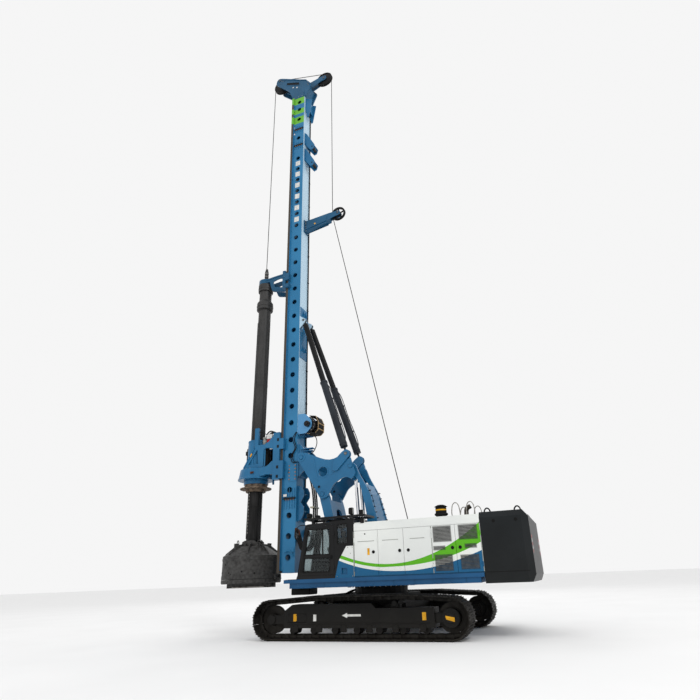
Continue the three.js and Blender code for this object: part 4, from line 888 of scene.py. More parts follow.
def dress_cab_outside():
    grip = [
        block("plate", (0.93, 1.499, 2.03), (1.01, 1.505, 2.15), bevel=0.006),
        pipe("handle", [
            (0.945, 1.50, 2.05), (0.945, 1.525, 2.06), (0.945, 1.527, 2.12),
            (0.945, 1.50, 2.135)], 0.008)]
    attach(paint(join("door_handle", grip), rubber), "cab_door")
    rail = pipe("door_rail", [
        (1.93, 1.49, 1.72), (1.925, 1.55, 1.75), (1.85, 1.555, 2.30), (1.795, 1.55, 2.72),
        (1.79, 1.49, 2.75)], 0.012)
    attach(paint(rail, cab_black), "cab_door")
    arm = pipe("mirror_arm", [
        (1.80, 1.42, 3.02), (1.92, 1.55, 3.02), (2.00, 1.63, 2.97), (2.03, 1.66, 2.90)], 0.011)
    shell = rod("shell", (2.00, 1.66, 2.76), (2.045, 1.66, 2.765), 0.13, 28, bevel=0.018)
    oval(shell, 1.66, 2.76)
    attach(paint(join("mirror", [shell, arm]), rubber), "upper")
    glass = rod("mirror_glass", (1.997, 1.66, 2.76), (2.001, 1.66, 2.76), 0.115, 28)
    oval(glass, 1.66, 2.76)
    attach(paint(glass, mirror_glass), "upper")
    wiper = join("wiper", [
        rod("post", (2.055, 1.08, 1.80), (2.075, 1.08, 1.80), 0.02, 14, 0.004),
        pipe("arm", [(2.068, 1.08, 1.80), (2.02, 1.15, 2.2), (1.965, 1.2, 2.55)], 0.007),
        block("blade", (1.93, 1.195, 2.40), (1.945, 1.205, 2.80), bevel=0.003)])
    for vertex in wiper.data.vertices:
        if vertex.co.z > 2.38 and abs(vertex.co.y - 1.2) < 0.012:  # the blade leans with the glass
            vertex.co.x += (2.60 - vertex.co.z) * 0.16
    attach(paint(wiper, rubber), "upper")
    lamps, glasses, stalks = [], [], []
    for x, y, base, tall in (
        (0.36, 1.36, 3.24, 0.20), (0.03, 1.36, 3.18, 0.175), (-0.02, 1.43, 2.97, 0.14),
        (1.75, 1.36, 3.235, 0.13), (1.75, 0.80, 3.235, 0.13)):
        face = 1 if x > 1 else -1
        stalks.append(rod("stalk", (x, y, base - 0.03), (x, y, base + 0.03), 0.014, 10))
        lamps.append(block(
            "lamp", (x - 0.06, y - 0.065, base), (x + 0.06, y + 0.065, base + tall), bevel=0.016))
        lamps += [block(
            "fin", (x - 0.05 * face - 0.012, y - 0.05 + 0.03 * i, base + 0.02),
            (x - 0.05 * face - 0.024 * face, y - 0.04 + 0.03 * i, base + tall - 0.02), bevel=0)
            for i in range(4)]
        glasses.append(block(
            "glass", (x + 0.058 * face, y - 0.05, base + 0.02),
            (x + 0.064 * face, y + 0.05, base + tall - 0.02), bevel=0.002))
    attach(paint(join("work_lamps", [*lamps, *stalks]), rubber), "upper")
    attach(paint(join("work_lamp_glass", glasses), lamp_glass), "upper")
    mesh_bars = [rod("wire", (x, 0.70, 3.214), (x, 1.46, 3.214), 0.006, 8)
                 for x in [-0.04 + 0.075 * i for i in range(25)]]
    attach(paint(join("roof_guard_wires", mesh_bars), cab_black), "upper")
    ribs = [block("rib", (x, 0.76, z), (x + 0.02, 1.42, z + 0.012), bevel=0.004)
            for x, z in ((0.62, 3.084), (0.92, 3.072), (1.22, 3.059), (1.5, 3.047))]
    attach(paint(join("roof_ribs", ribs), cab_black), "upper")
    sill = block("cab_sill", (0.86, 1.30, 1.5205), (2.09, 1.488, 1.60), bevel=0.006)
    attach(paint(sill, deck_blue), "upper")


def dress_side_panel():
    lip = sheet_of(
        "boarding_step", [(0.468, 1.608), (0.652, 1.608), (0.652, 1.792), (0.468, 1.792)], 1.4925,
        0.005, 0.012, rim=0.016)
    tread = block("tread", (0.478, 1.458, 1.612), (0.642, 1.492, 1.624), bevel=0.003)
    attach(paint(join("boarding_step_rim", [lip, tread]), deck_blue), "upper")
    spots = [(0.30, 1.494, 2.32), (0.44, 1.494, 2.32), (0.30, 1.494, 1.56), (0.78, 1.494, 1.56),
             (0.36, 1.494, 2.16)]
    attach(paint(
        bolts("side_panel_bolts", spots, 0.013, 0.008, (0, 1, 0)), bolt_steel),
        "upper")
    spots = [(-0.10, 1.5, 2.66)]
    dot = bolts("hood_plug", spots, 0.022, 0.006, (0, 1, 0), sides=20)
    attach(paint(dot, rubber), "hood_door_left_1")
    label = flat("blank_label", [
        (-0.235, 2.09), (-0.165, 2.09), (-0.165, 2.27), (-0.235, 2.27)], 1.5005, 0.002)
    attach(paint(label, marker_yellow), "hood_door_left_1")


def cushion(name, low, high, crown, waist=0.06):
    """A crowned closed pad whose sides pull in between its corners."""
    made = block(name, low, high, bevel=0)
    bpy.ops.object.select_all(action="DESELECT")
    made.select_set(True)
    bpy.context.view_layer.objects.active = made
    bpy.ops.object.mode_set(mode="EDIT")
    bpy.ops.mesh.select_all(action="SELECT")
    bpy.ops.mesh.subdivide(number_cuts=5)
    bpy.ops.object.mode_set(mode="OBJECT")
    middle = (at(*low) + at(*high)) / 2
    half = (at(*high) - at(*low)) / 2
    for vertex in made.data.vertices:
        u, v, w = ((vertex.co[i] - middle[i]) / half[i] for i in range(3))
        vertex.co[crown] += (1 - u * u if crown != 0 else 1 - w * w) * (1 - v * v) * 0.022
        for axis, other in ((0, v), (1, u if crown != 0 else w)):
            if axis != crown:
                vertex.co[axis] -= (vertex.co[axis] - middle[axis]) * waist * (1 - other * other)
    smooth = made.modifiers.new("soft", "SUBSURF")
    smooth.levels = smooth.render_levels = 2
    bpy.ops.object.modifier_apply(modifier="soft")
    for face in made.data.polygons:
        face.use_smooth = True
    return made


def lean(piece, low_z, back):
    """Leans a seat back or pad: each point moves back with its height above low_z."""
    for vertex in piece.data.vertices:
        vertex.co.x -= max(0.0, vertex.co.z - low_z) * back
    return piece


def dress_seat():
    base = cushion("seat_base_pad", (0.86, 0.83, 1.97), (1.37, 1.33, 2.07), 2)
    back = lean(cushion("seat_back_pad", (0.80, 0.85, 2.06), (0.90, 1.31, 2.62), 0), 2.06, 0.14)
    head = lean(cushion("seat_head_pad", (0.81, 0.96, 2.65), (0.88, 1.20, 2.80), 0), 2.06, 0.14)
    for pad in (base, back, head):
        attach(paint(pad, seat_cloth), "upper") or pad
    frame_parts = [
        block("pedestal", (0.95, 0.92, 1.60), (1.22, 1.24, 1.80), bevel=0.02),
        rod("bellows", (1.08, 1.08, 1.79), (1.08, 1.08, 1.90), 0.15, 20, 0.01),
        block("pan", (0.84, 0.84, 1.89), (1.36, 1.32, 1.965), bevel=0.015),
        lean(block("shell", (0.765, 0.86, 2.0), (0.80, 1.30, 2.64), bevel=0.012), 2.0, 0.14)]
    for y in (0.765, 1.395):
        frame_parts += [
            block("console", (0.92, y - 0.04, 1.98), (1.46, y + 0.04, 2.17), bevel=0.02),
            rod("boot", (1.38, y, 2.16), (1.38, y, 2.22), 0.035, 16, 0.004, cone=0.018),
            rod("lever", (1.38, y, 2.20), (1.40, y, 2.31), 0.010, 10),
            rod("grip", (1.398, y, 2.29), (1.415, y, 2.40), 0.024, 14, 0.008)]
    frame_parts += [
        block("dash", (1.86, 0.78, 1.66), (1.98, 1.38, 1.74), bevel=0.015),
        rod("post", (1.88, 0.83, 1.70), (1.78, 0.85, 2.28), 0.022, 12),
        lean(block("screen", (1.70, 0.76, 2.22), (1.73, 1.00, 2.42), bevel=0.008), 2.2, 0.1)]
    frame_parts += [rod("pedal", (1.70, y, 1.61), (1.78, y, 1.78), 0.016, 10) for y in (0.98, 1.18)]
    made = paint(join("operator_place", frame_parts), console_plastic)
    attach(made, "upper")
    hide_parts("operator_seat")


dress_cab_windows()
dress_cab_outside()
dress_side_panel()
dress_seat()

# ------------------------------------------------------------------ fuel tank and right walkway
# A folded steel tank on the right of the deck, painted with the hoods, with a locking filler cap,
# non-slip treads on its steps and a tube handrail.


def dress_tank():
    treads = []
    for x0, x1, z in ((1.565, 1.905, 1.6105), (1.565, 1.765, 1.9005)):
        treads += [block("tread", (x0 + 0.02 + 0.045 * i, -1.38, z), (x0 + 0.035 + 0.045 * i, -0.78,
                         z + 0.006), bevel=0.002) for i in range(int((x1 - x0) / 0.045) - 1)]
    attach(paint(join("tank_step_treads", treads), bolt_steel), "upper")
    rails = [pipe("rail", [
        (1.50, -1.44, 2.47), (1.50, -1.44, 2.9), (1.42, -1.44, 3.0), (0.5, -1.44, 3.0),
        (0.42, -1.44, 2.9), (0.42, -1.44, 2.47)], 0.016)]
    rails.append(pipe("rail", [
        (1.93, -1.46, 1.60), (1.93, -1.46, 2.0), (1.80, -1.46, 2.3), (1.62, -1.46, 2.5),
        (1.56, -1.46, 2.42)], 0.016))
    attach(paint(join("tank_handrails", rails), cab_black), "upper")
    cap = [rod("neck", (1.25, -1.0, 2.478), (1.25, -1.0, 2.52), 0.06, 24, 0.004),
           rod("cap", (1.25, -1.0, 2.515), (1.25, -1.0, 2.56), 0.075, 24, 0.01),
           block("hasp", (1.16, -1.02, 2.52), (1.20, -0.98, 2.545), bevel=0.004)]
    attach(paint(join("tank_filler_cap", cap), rubber), "upper")
    gauge = [block("gauge", (0.52, -1.505, 1.75), (0.56, -1.498, 2.25), bevel=0.003)]
    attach(paint(join("tank_gauge", gauge), lamp_glass), "upper")


dress_tank()

# ------------------------------------------------------------------ main winch
# A grooved drum between cast flanges, driven by gears inside it, with wire rope laid on it in
# touching turns. Dark with grease.
winch_iron = surface(
    "greased winch iron", (0.050, 0.050, 0.052), (0.020, 0.020, 0.021), size=5, rough=(0.3, 0.6),
    metal=0.5, relief=0.0015)
wire_rope = surface(
    "greased wire rope", (0.070, 0.068, 0.064), (0.026, 0.025, 0.024), size=30, rough=(0.35, 0.6),
    metal=0.7, relief=0.004)
for node in ("main_winch", "aux_winch"):
    paint(node, winch_iron)


def hoop(radius, thickness, steps, sides):
    """A hoop of round bar or rope, upright and facing sideways."""
    bpy.ops.object.select_all(action="DESELECT")
    bpy.ops.mesh.primitive_torus_add(
        major_radius=radius, minor_radius=thickness, major_segments=steps, minor_segments=sides)
    made = bpy.context.object
    for face in made.data.polygons:
        face.use_smooth = True
    made.data.transform(Matrix.Rotation(math.pi / 2, 4, "X"))
    return made


def rope_turns(name, x, z, radius, y0, y1, rope):
    """Turns of rope side by side on a drum."""
    turn = hoop(radius, rope, 48, 8)
    count = int((y1 - y0) / (2 * rope))
    spots = [y0 + rope + (y1 - y0 - 2 * rope) * i / (count - 1) for i in range(count)]
    return repeat(name, turn, [Matrix.Translation(at(x, y, z)) for y in spots])


def dress_winch(prefix, body, x, z, drum, half, rope, bolt_circle, outside):
    turns = rope_turns(f"{prefix}_rope", x, z, drum + rope * 0.9, -half, half, rope)
    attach(paint(turns, wire_rope), body)
    spots = ring_of((x, outside, z), bolt_circle, 12) + ring_of((x, -outside, z), bolt_circle, 12)
    heads = bolts(f"{prefix}_bolts", spots[:12], 0.014, 0.014, (0, 1, 0))
    others = bolts(f"{prefix}_bolts_right", spots[12:], 0.014, 0.014, (0, -1, 0))
    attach(paint(join(f"{prefix}_bolts", [heads, others]), bolt_steel), body)


dress_winch("main_winch", "main_winch", -1.45, 2.30, 0.30, 0.46, 0.014, 0.38, 0.49)

# ------------------------------------------------------------------ parallel linkage
# Box-section arms in gloss blue carry the mast's triangle. Pins with locking plates at every eye,
# hoses and rungs along the rear link, white blank plates on the arms.
mast_blue = surface(
    "gloss rig blue", (0.020, 0.145, 0.300), (0.016, 0.122, 0.258), size=0.9, rough=(0.22, 0.40),
    relief=0.0006, coat=0.12)
for node in ("front_arm", "rear_link", "triangle", "mast_bracket"):
    paint(node, mast_blue)
splice_black = surface(
    "dark bolted flange", (0.013, 0.017, 0.021), (0.008, 0.010, 0.013), size=9, rough=(0.4, 0.6))
pin_steel = surface(
    "pin steel", (0.19, 0.19, 0.19), (0.09, 0.09, 0.09), size=14, rough=(0.25, 0.5), metal=0.85)


def round_spot(x, z, radius, angle):
    """A spot at an angle round a centre."""
    return x + radius * math.cos(angle), z + radius * math.sin(angle)


def pin_ends(name, places):
    """A turned cap, a locking plate and its two bolts on each end of a pin."""
    parts = []
    for x, z, half, radius in places:
        for y_sign in (1, -1):
            y = half * y_sign
            parts.append(rod(
                "cap", (x, y - 0.004 * y_sign, z), (x, y + 0.018 * y_sign, z), radius, 24, 0.006))
            parts.append(block(
                "keeper", (x - radius * 1.05, y + 0.006 * y_sign, z + radius * 0.45),
                (x + radius * 1.05, y + 0.022 * y_sign, z + radius * 0.85), bevel=0.004))
            for dx in (-0.8, 0.8):
                parts.append(rod(
                    "bolt", (x + dx * radius, y + 0.02 * y_sign, z + radius * 0.65),
                    (x + dx * radius, y + 0.032 * y_sign, z + radius * 0.65), 0.012, 6))
    return join(name, parts)


def dress_linkage():
    foot = pin_ends("linkage_foot_pins", [(1.10, 1.85, 0.637, 0.07), (0.09, 2.67, 0.637, 0.07)])
    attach(paint(foot, mast_blue), "upper")
    tops = pin_ends("triangle_pins", [
        (1.68, 4.04, 0.637, 0.07), (0.67, 4.86, 0.637, 0.07), (2.47, 5.32, 0.637, 0.07)])
    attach(paint(tops, mast_blue), "triangle")
    plates = [block(
        "plate", (1.30, 0.551 * s, 3.06), (1.40, 0.554 * s, 3.18), bevel=0.001) for s in (1, -1)]
    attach(paint(join("arm_blank_plates", plates), marker_white), "front_arm")
    outer = 0.6205
    collars = []
    for s in (1, -1):
        for x, z, bore, rim in (
            (1.66, 4.76, 0.165, 0.205), (1.80, 4.28, 0.048, 0.075), (1.68, 4.04, 0.085, 0.135),
            (2.47, 5.32, 0.085, 0.150)):
            ring = [
                round_spot(x, z, r, a) for r, steps in ((rim, range(24)), (bore, range(23, -1, -1)))
                for a in [math.pi * k / 11.5 for k in steps]]
            collars.append(flat("collar", ring, outer * s, 0.010 * s))
        collars.append(flat(
            "stiffener", [(1.98, 5.22), (2.02, 5.18), (1.88, 4.50), (1.84, 4.46), (1.84, 4.52)],
            outer * s, 0.008 * s))
        collars.append(flat(
            "stiffener", [(0.98, 4.92), (1.02, 4.96), (1.40, 4.66), (1.38, 4.62)], outer * s,
            0.008 * s))
    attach(paint(join("triangle_collars", collars), mast_blue), "triangle")
    bushes = [rod(
        "bush", (1.80, 0.575 * s, 4.28), (1.80, 0.610 * s, 4.28), 0.044, 20) for s in (1, -1)]
    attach(paint(join("triangle_bushes", bushes), splice_black), "triangle")
    pipes, steps = [], []
    for s in (1, -1):
        for gap in (0.0, 0.045):
            pipes.append(pipe("pipe", [
                (-0.08 - gap * 0.3, (0.40 - gap) * s, 3.06),
                (-0.01 - gap * 0.3, (0.39 - gap) * s, 3.45),
                (0.10 - gap * 0.3, (0.39 - gap) * s, 3.92),
                (0.22 - gap * 0.3, (0.40 - gap) * s, 4.18)], 0.014))
        for i in range(7):
            z = 3.02 + 0.17 * i
            x = -0.155 + 0.26 * (z - 3.02)
            steps.append(block("rung", (x - 0.045, 0.43 * s - 0.035, z),
                               (x + 0.06, 0.43 * s + 0.035, z + 0.022), bevel=0.006))
    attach(paint(join("link_pipes", pipes), rubber), "rear_link")
    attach(paint(join("link_rungs", steps), splice_black), "rear_link")


dress_linkage()

# ------------------------------------------------------------------ luff cylinders
# Welded barrels in slate paint with a gland ring, hard chrome rods, and feed pipes clamped along
# the barrel.
slate = surface(
    "slate cylinder paint", (0.022, 0.027, 0.034), (0.015, 0.018, 0.024), size=2, rough=(0.3, 0.5),
    relief=0.0008)
rod_black = surface(
    "black rod tube paint", (0.0080, 0.0085, 0.0090), (0.0050, 0.0054, 0.0058), size=2,
    rough=(0.3, 0.5), relief=0.0008)
chrome = surface(
    "hard chrome", (0.72, 0.72, 0.73), (0.62, 0.62, 0.64), size=9, rough=(0.05, 0.14), metal=1.0)
for hand in ("left", "right"):
    paint(f"luff_barrel_{hand}", slate)
    paint(f"luff_rod_{hand}", chrome)
    paint(f"stay_barrel_{hand}", slate)
    paint(f"stay_rod_{hand}", rod_black)


def dress_barrel(name, body, foot, head, radius, start, end):
    """A gland ring at a barrel's mouth, a weld band at its foot and one clamped feed pipe."""
    foot, head = Vector(foot), Vector(head)
    spot = lambda share: foot.lerp(head, share)
    axis = (head - foot).normalized()
    side = axis.cross(Vector((0, 1, 0))).normalized()
    parts = [rod("gland", spot(end - 0.012), spot(end), radius * 1.10, 28, 0.006),
             rod("band", spot(start + 0.01), spot(start + 0.022), radius * 1.05, 28, 0.006)]
    away = side * (radius + 0.022)
    parts.append(pipe("pipe", [
        spot(start + 0.03) + side * radius * 0.8, spot(start + 0.05) + away,
        spot((start + end) / 2) + away, spot(end - 0.05) + away,
        spot(end - 0.03) + side * radius * 0.8], 0.014))
    for share in (0.3, 0.7):
        middle = spot(start + (end - start) * share) + away
        parts.append(rod("clamp", middle - axis * 0.02, middle + axis * 0.02, 0.024, 8, 0.003))
    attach(paint(join(name, parts), slate), body)


for hand, y in (("left", 0.22), ("right", -0.22)):
    dress_barrel(f"luff_gland_{hand}", "luff_barrels", (0.50, y, 1.75), (0.67, y, 4.86), 0.095,
                 0.02, 0.468)

# ------------------------------------------------------------------ mast
# A welded box leader with round openings, dark greased rails down its front edges, bolted splices,
# rear pulley brackets, six blank white plates and green bands near the top.
rail_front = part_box("mast")[1].x - 0.10


def mast_paint():
    """Gloss blue, a painted highlight on the rear face, greased front rails, green bands near the
    top.
    """
    material = surface(
        "mast blue", (0.028, 0.182, 0.360), (0.023, 0.158, 0.318), size=0.8, rough=(0.22, 0.40),
        relief=0.0006, coat=0.12)
    far, rear = 99.0, rail_front - 0.508
    # Painted highlight: the rear face above 6.3 m is painted pale where the light falls on it.
    coloured_within(material, (0.42, 0.58, 0.70), (-far, -far, 6.3), (rear, far, far))
    coloured_within(
        material, (0.055, 0.046, 0.036), (rail_front + 0.001, -far, -far), (far, far, far))
    for low, high in ((22.33, 22.74), (21.71, 22.02), (21.10, 21.52)):
        coloured_within(material, (0.13, 0.40, 0.035), (rear, -far, low), (far, far, high))
    return material


mast_blue_and_painted_highlight = mast_paint()
paint("mast", mast_blue_and_painted_highlight)
rust = surface(
    "rusted bracket", (0.090, 0.034, 0.016), (0.045, 0.016, 0.010), size=12, rough=(0.6, 0.9),
    relief=0.002)
orange_bolts = surface(
    "yellow passivated bolts", (0.50, 0.24, 0.07), (0.32, 0.13, 0.04), size=20, rough=(0.3, 0.5),
    metal=0.6)


def dress_mast():
    body, x = "mast", 3.045
    heights = [2.19, 2.845, 3.495, 4.33, 4.94, 5.50, 20.195, 21.355, 21.98, 22.455]
    heights += [6.065 + 0.615 * i for i in range(22)]
    rim = hoop(0.103, 0.008, 24, 6)
    rims = repeat("opening_rims", rim, [
        Matrix.Translation(at(x, 0.34 * s, z)) for z in heights for s in (1, -1)
        if not 4.6 < z < 5.2])
    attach(paint(rims, mast_blue_and_painted_highlight), body)
    flanges, ribs, studs, zinc = [], [], [], []
    for s in (1, -1):
        for z, reach in ((4.05, 0.34), (20.73, 0.20), (19.75, 0.20)):
            flanges.append(block(
                "flange", (2.81, 0.338 * s, z - 0.03), (3.26, 0.385 * s, z + 0.03), bevel=0.004))
            for i in range(5):
                rx = 2.84 + 0.096 * i
                for way in (1, -1):
                    ribs.append(flat("rib", [
                        (rx, z), (rx + 0.012, z), (rx + 0.012, z + reach * way),
                        (rx, z + reach * way)], 0.338 * s, 0.026 * s))
            studs += [(2.886 + 0.096 * i, 0.362 * s, z - 0.03) for i in range(4)]
        zinc += [(px, 0.352 * s, 4.68 + 0.115 * i) for px in (2.835, 3.065) for i in range(5)]
    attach(paint(join("splice_flanges", flanges), splice_black), body)
    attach(paint(join("splice_ribs", ribs), mast_blue_and_painted_highlight), body)
    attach(paint(
        bolts("splice_bolts", studs, 0.018, 0.03, (0, 0, -1)), orange_bolts), body)
    for name, way in (("left", 1), ("right", -1)):
        heads = bolts(
            f"bracket_bolts_{name}", [p for p in zinc if p[1] * way > 0], 0.022, 0.02, (0, way, 0))
        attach(paint(heads, orange_bolts), body)
    plates = [block(
        "plate", (2.935, 0.3405 * s, 15.6 + 0.615 * i - 0.125),
        (3.155, 0.343 * s, 15.6 + 0.615 * i + 0.125), bevel=0.001)
        for i in range(6) for s in (1, -1)]
    plates += [block(
        "plate", (3.13, 0.341 * s, 4.11), (3.26, 0.39 * s, 4.19), bevel=0.004) for s in (1, -1)]
    plates += [block(
        "plate", (3.235, 0.341 * s, z - 0.05), (3.285, 0.343 * s, z + 0.05), bevel=0.001)
        for s in (1, -1) for z in (20.87, 20.49)]
    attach(paint(join("mast_blank_plates", plates), marker_white), body)
    lugs, wheels = [], []
    for top in (20.46, 19.52):
        for y in (-0.20, 0.17):
            lugs.append(flat("lug", [
                (2.789, top), (2.72, top), (2.31, top - 0.80), (2.37, top - 1.02),
                (2.50, top - 1.06), (2.789, top - 0.62)], y, 0.03))
        lugs.append(block(
            "back", (2.755, -0.24, top - 0.66), (2.789, 0.24, top + 0.02), bevel=0.006))
        lugs.append(block("tie", (2.56, -0.17, top - 0.62), (2.60, 0.17, top - 0.40), bevel=0.004))
        wheels.append(rod(
            "roller", (2.42, -0.165, top - 0.90), (2.42, 0.165, top - 0.90), 0.07, 20, 0.01))
        wheels.append(rod("pin", (2.42, -0.225, top - 0.90), (2.42, 0.225, top - 0.90), 0.025, 12))
    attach(paint(join("pulley_brackets", lugs), mast_blue), body)
    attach(paint(join("pulley_rollers", wheels), winch_iron), body)
    gusset = [flat("gusset", [
        (2.789, 22.70), (2.44, 22.50), (2.60, 21.50), (2.68, 21.46), (2.789, 22.0)], y, 0.03)
        for y in (-0.22, 0.19)]
    gusset.append(block("web", (2.60, -0.19, 21.9), (2.64, 0.19, 22.5), bevel=0.004))
    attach(paint(join("head_gussets", gusset), mast_blue), body)
    lower = [flat("fin", [
        (2.789, 4.46), (2.64, 4.42), (2.56, 4.26), (2.56, 4.10), (2.68, 3.92), (2.56, 3.74),
        (2.56, 3.52), (2.66, 3.34), (2.789, 3.28)], y, 0.03) for y in (0.20, -0.23)]
    lower += [rod("tie", (2.63, -0.24, z), (2.63, 0.24, z), 0.03, 16, 0.006) for z in (4.18, 3.62)]
    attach(paint(join("lower_fins", lower), mast_blue), body)
    stay = [block("doubler", (2.772, -0.31, 9.20), (2.7895, 0.31, 11.34), bevel=0.006)]
    stay += [flat(
        "web", [(2.789, z), (2.70, z + 0.02), (2.70, z + 0.05), (2.789, z + 0.30)], y, 0.02)
        for y in (-0.10, 0.08) for z in (9.5, 11.0)]
    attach(paint(join("stay_doubler", stay), mast_blue), body)
    lines = [pipe(
        "line", [(2.765, y, 4.3), (2.765, y, 12.5), (2.765, y, 22.4)], 0.015, smooth=False)
        for y in (-0.24, -0.285)]
    lines += [block("clamp", (2.745, -0.31, z), (2.789, -0.215, z + 0.04), bevel=0.004)
              for z in [6.2 + 1.3 * i for i in range(12)]]
    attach(paint(join("mast_pipes", lines), splice_black), body)
    foot = [flat("shoe", [(2.81, 2.80), (2.60, 2.86), (2.62, 3.00), (2.73, 3.08), (2.79, 3.08)],
                 y, 0.03) for y in (0.342, -0.372)]
    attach(paint(join("mast_stops", foot), rust), body)
    hooks = [pipe("hook", [
        (2.84, 0.36 * s, 2.20), (2.92, 0.385 * s, 2.36), (3.02, 0.385 * s, 2.40),
        (3.10, 0.385 * s, 2.36), (3.16, 0.36 * s, 2.36)], 0.018) for s in (1, -1)]
    hooks += [block(
        "hook_base", (2.82, 0.34 * s, 2.34), (2.96, 0.365 * s, 2.47), bevel=0.006) for s in (1, -1)]
    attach(paint(join("mast_hooks", hooks), mast_blue_and_painted_highlight), body)
    ends = [block("rail_foot", (3.24, 0.345 * s, 1.7305), (3.399, 0.415 * s, 1.80), bevel=0.01)
            for s in (1, -1)]
    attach(paint(join("rail_feet", ends), grease), body)
    side = [pipe("hose", [
        (2.80, 0.37 + d, 6.30), (2.88 + d, 0.385 + d, 6.05), (2.80 + d, 0.39, 5.75),
        (2.92 + d, 0.39, 5.50), (2.86 + 2 * d, 0.385, 5.26), (2.74, 0.37, 5.24)], 0.014)
        for d in (0.0, 0.045)]
    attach(paint(join("mast_side_hoses", side), rubber), body)


dress_mast()

# ------------------------------------------------------------------ hoses between mast and upper
# Rubber hoses hang in a bunch behind the mast, held by two plastic clamps. Both ends are screwed
# to the mast's bracket, so the bunch moves with it.


def dress_hoses():
    body = "mast"
    hoses = []
    for i in range(6):
        y = 0.06 + 0.065 * i
        dx = 0.025 * (i % 2)
        hoses.append(pipe("hose", [
            (2.42, y * 0.8, 4.90), (2.26 - dx, y, 4.55), (2.17 - dx, y, 4.10), (2.14 - dx, y, 3.45),
            (2.20 - dx, y, 2.85), (2.33, y, 2.44), (2.50, y, 2.38), (2.66, y * 0.9, 2.60),
            (2.79, y * 0.7, 2.95)], 0.023))
    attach(paint(join("hose_bunch", hoses), rubber), body)
    clamps = [block(
        "clamp", (2.08, 0.02, z), (2.22, 0.44, z + 0.05), bevel=0.012) for z in (3.30, 3.66)]
    pale = surface(
        "pale nylon clamps", (0.50, 0.47, 0.36), (0.38, 0.35, 0.26), size=12, rough=(0.4, 0.6))
    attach(paint(join("hose_clamps", clamps), pale), body)


dress_hoses()

# ------------------------------------------------------------------ mast head and sheaves
# Two heavy cheeks carry a large cast sheave in front and a smaller one behind. Pins, keepers and
# edge plates are bolted on.
head_blue = surface(
    "shaded head blue", (0.018, 0.095, 0.190), (0.013, 0.075, 0.150), size=1, rough=(0.25, 0.42),
    relief=0.0006, coat=0.12)
sheave_iron = surface(
    "cast sheave iron", (0.016, 0.016, 0.017), (0.009, 0.009, 0.0095), size=7, rough=(0.35, 0.6),
    metal=0.4, relief=0.0004)
paint("mast_head", head_blue)
paint("guide_arm", head_blue)
for node in ("head_sheave", "rear_sheave"):
    paint(node, sheave_iron)


def turned_shell(name, profile, centre, steps=64):
    """A closed ring-shaped wall spun from a profile of radius and height round an upright axis."""
    mesh = bpy.data.meshes.new(name)
    line = [at(centre[0] + r, centre[1], z) for r, z in profile]
    mesh.from_pydata(line, [(i, (i + 1) % len(line)) for i in range(len(line))], [])
    made = in_hand(name, mesh)
    bpy.ops.object.mode_set(mode="EDIT")
    bpy.ops.mesh.select_all(action="SELECT")
    bpy.ops.mesh.spin(steps=steps, angle=2 * math.pi, center=at(*centre), axis=(0, 0, 1))
    bpy.ops.mesh.select_all(action="SELECT")
    bpy.ops.mesh.remove_doubles(threshold=0.0004)
    bpy.ops.mesh.normals_make_consistent(inside=False)
    bpy.ops.object.mode_set(mode="OBJECT")
    bpy.ops.object.shade_smooth_by_angle(angle=math.radians(30))
    return made


def spoked_sheave(node, x, z, radius, groove, half):
    """A light sheave: grooved rim, hub and five spokes with openings between them."""
    rim = turned_shell("rim", [
        (radius - 0.075, -half * 0.5), (radius - 0.014, -half), (radius, -half + 0.008),
        (groove, -0.014), (groove, 0.014), (radius, half - 0.008), (radius - 0.014, half),
        (radius - 0.075, half * 0.5)], (-slew_x, 0, 0))
    rim.data.transform(Matrix.Translation(at(x, 0, z)) @ Matrix.Rotation(math.pi / 2, 4, "X"))
    reach = (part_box(node)[1].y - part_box(node)[0].y) / 2
    parts = [rim, rod("hub", (x, -reach, z), (x, reach, z), 0.075, 24, 0.008)]
    for i in range(5):
        a = math.pi * (0.4 * i + 0.1)
        near, far = 0.06, radius - 0.065
        parts.append(flat("spoke", [round_spot(x, z, r, a + d) for r, d in (
            (near, -0.5), (far, -0.13), (far, 0.13), (near, 0.5))], -0.012, 0.024))
    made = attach(paint(join(f"{node}_spoked", parts), sheave_iron), node)
    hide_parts(node)


def dress_sheave(name, body, x, z, radius, half):
    """A raised hub and six spokes on both sides of a sheave."""
    parts = []
    for s in (1, -1):
        parts.append(rod(
            "hub", (x, (half - 0.004) * s, z), (x, (half + 0.008) * s, z), 0.095, 20, 0.006))
        for i in range(6):
            a = math.pi * i / 3
            inner, outer = 0.10, radius - 0.10
            parts.append(flat("spoke", [round_spot(x, z, r, a + d) for r, d in (
                (inner, -0.25), (inner, 0.25), (outer, 0.06), (outer, -0.06))],
                0.022 * s, 0.014 * s))
    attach(paint(join(name, parts), sheave_iron), body)


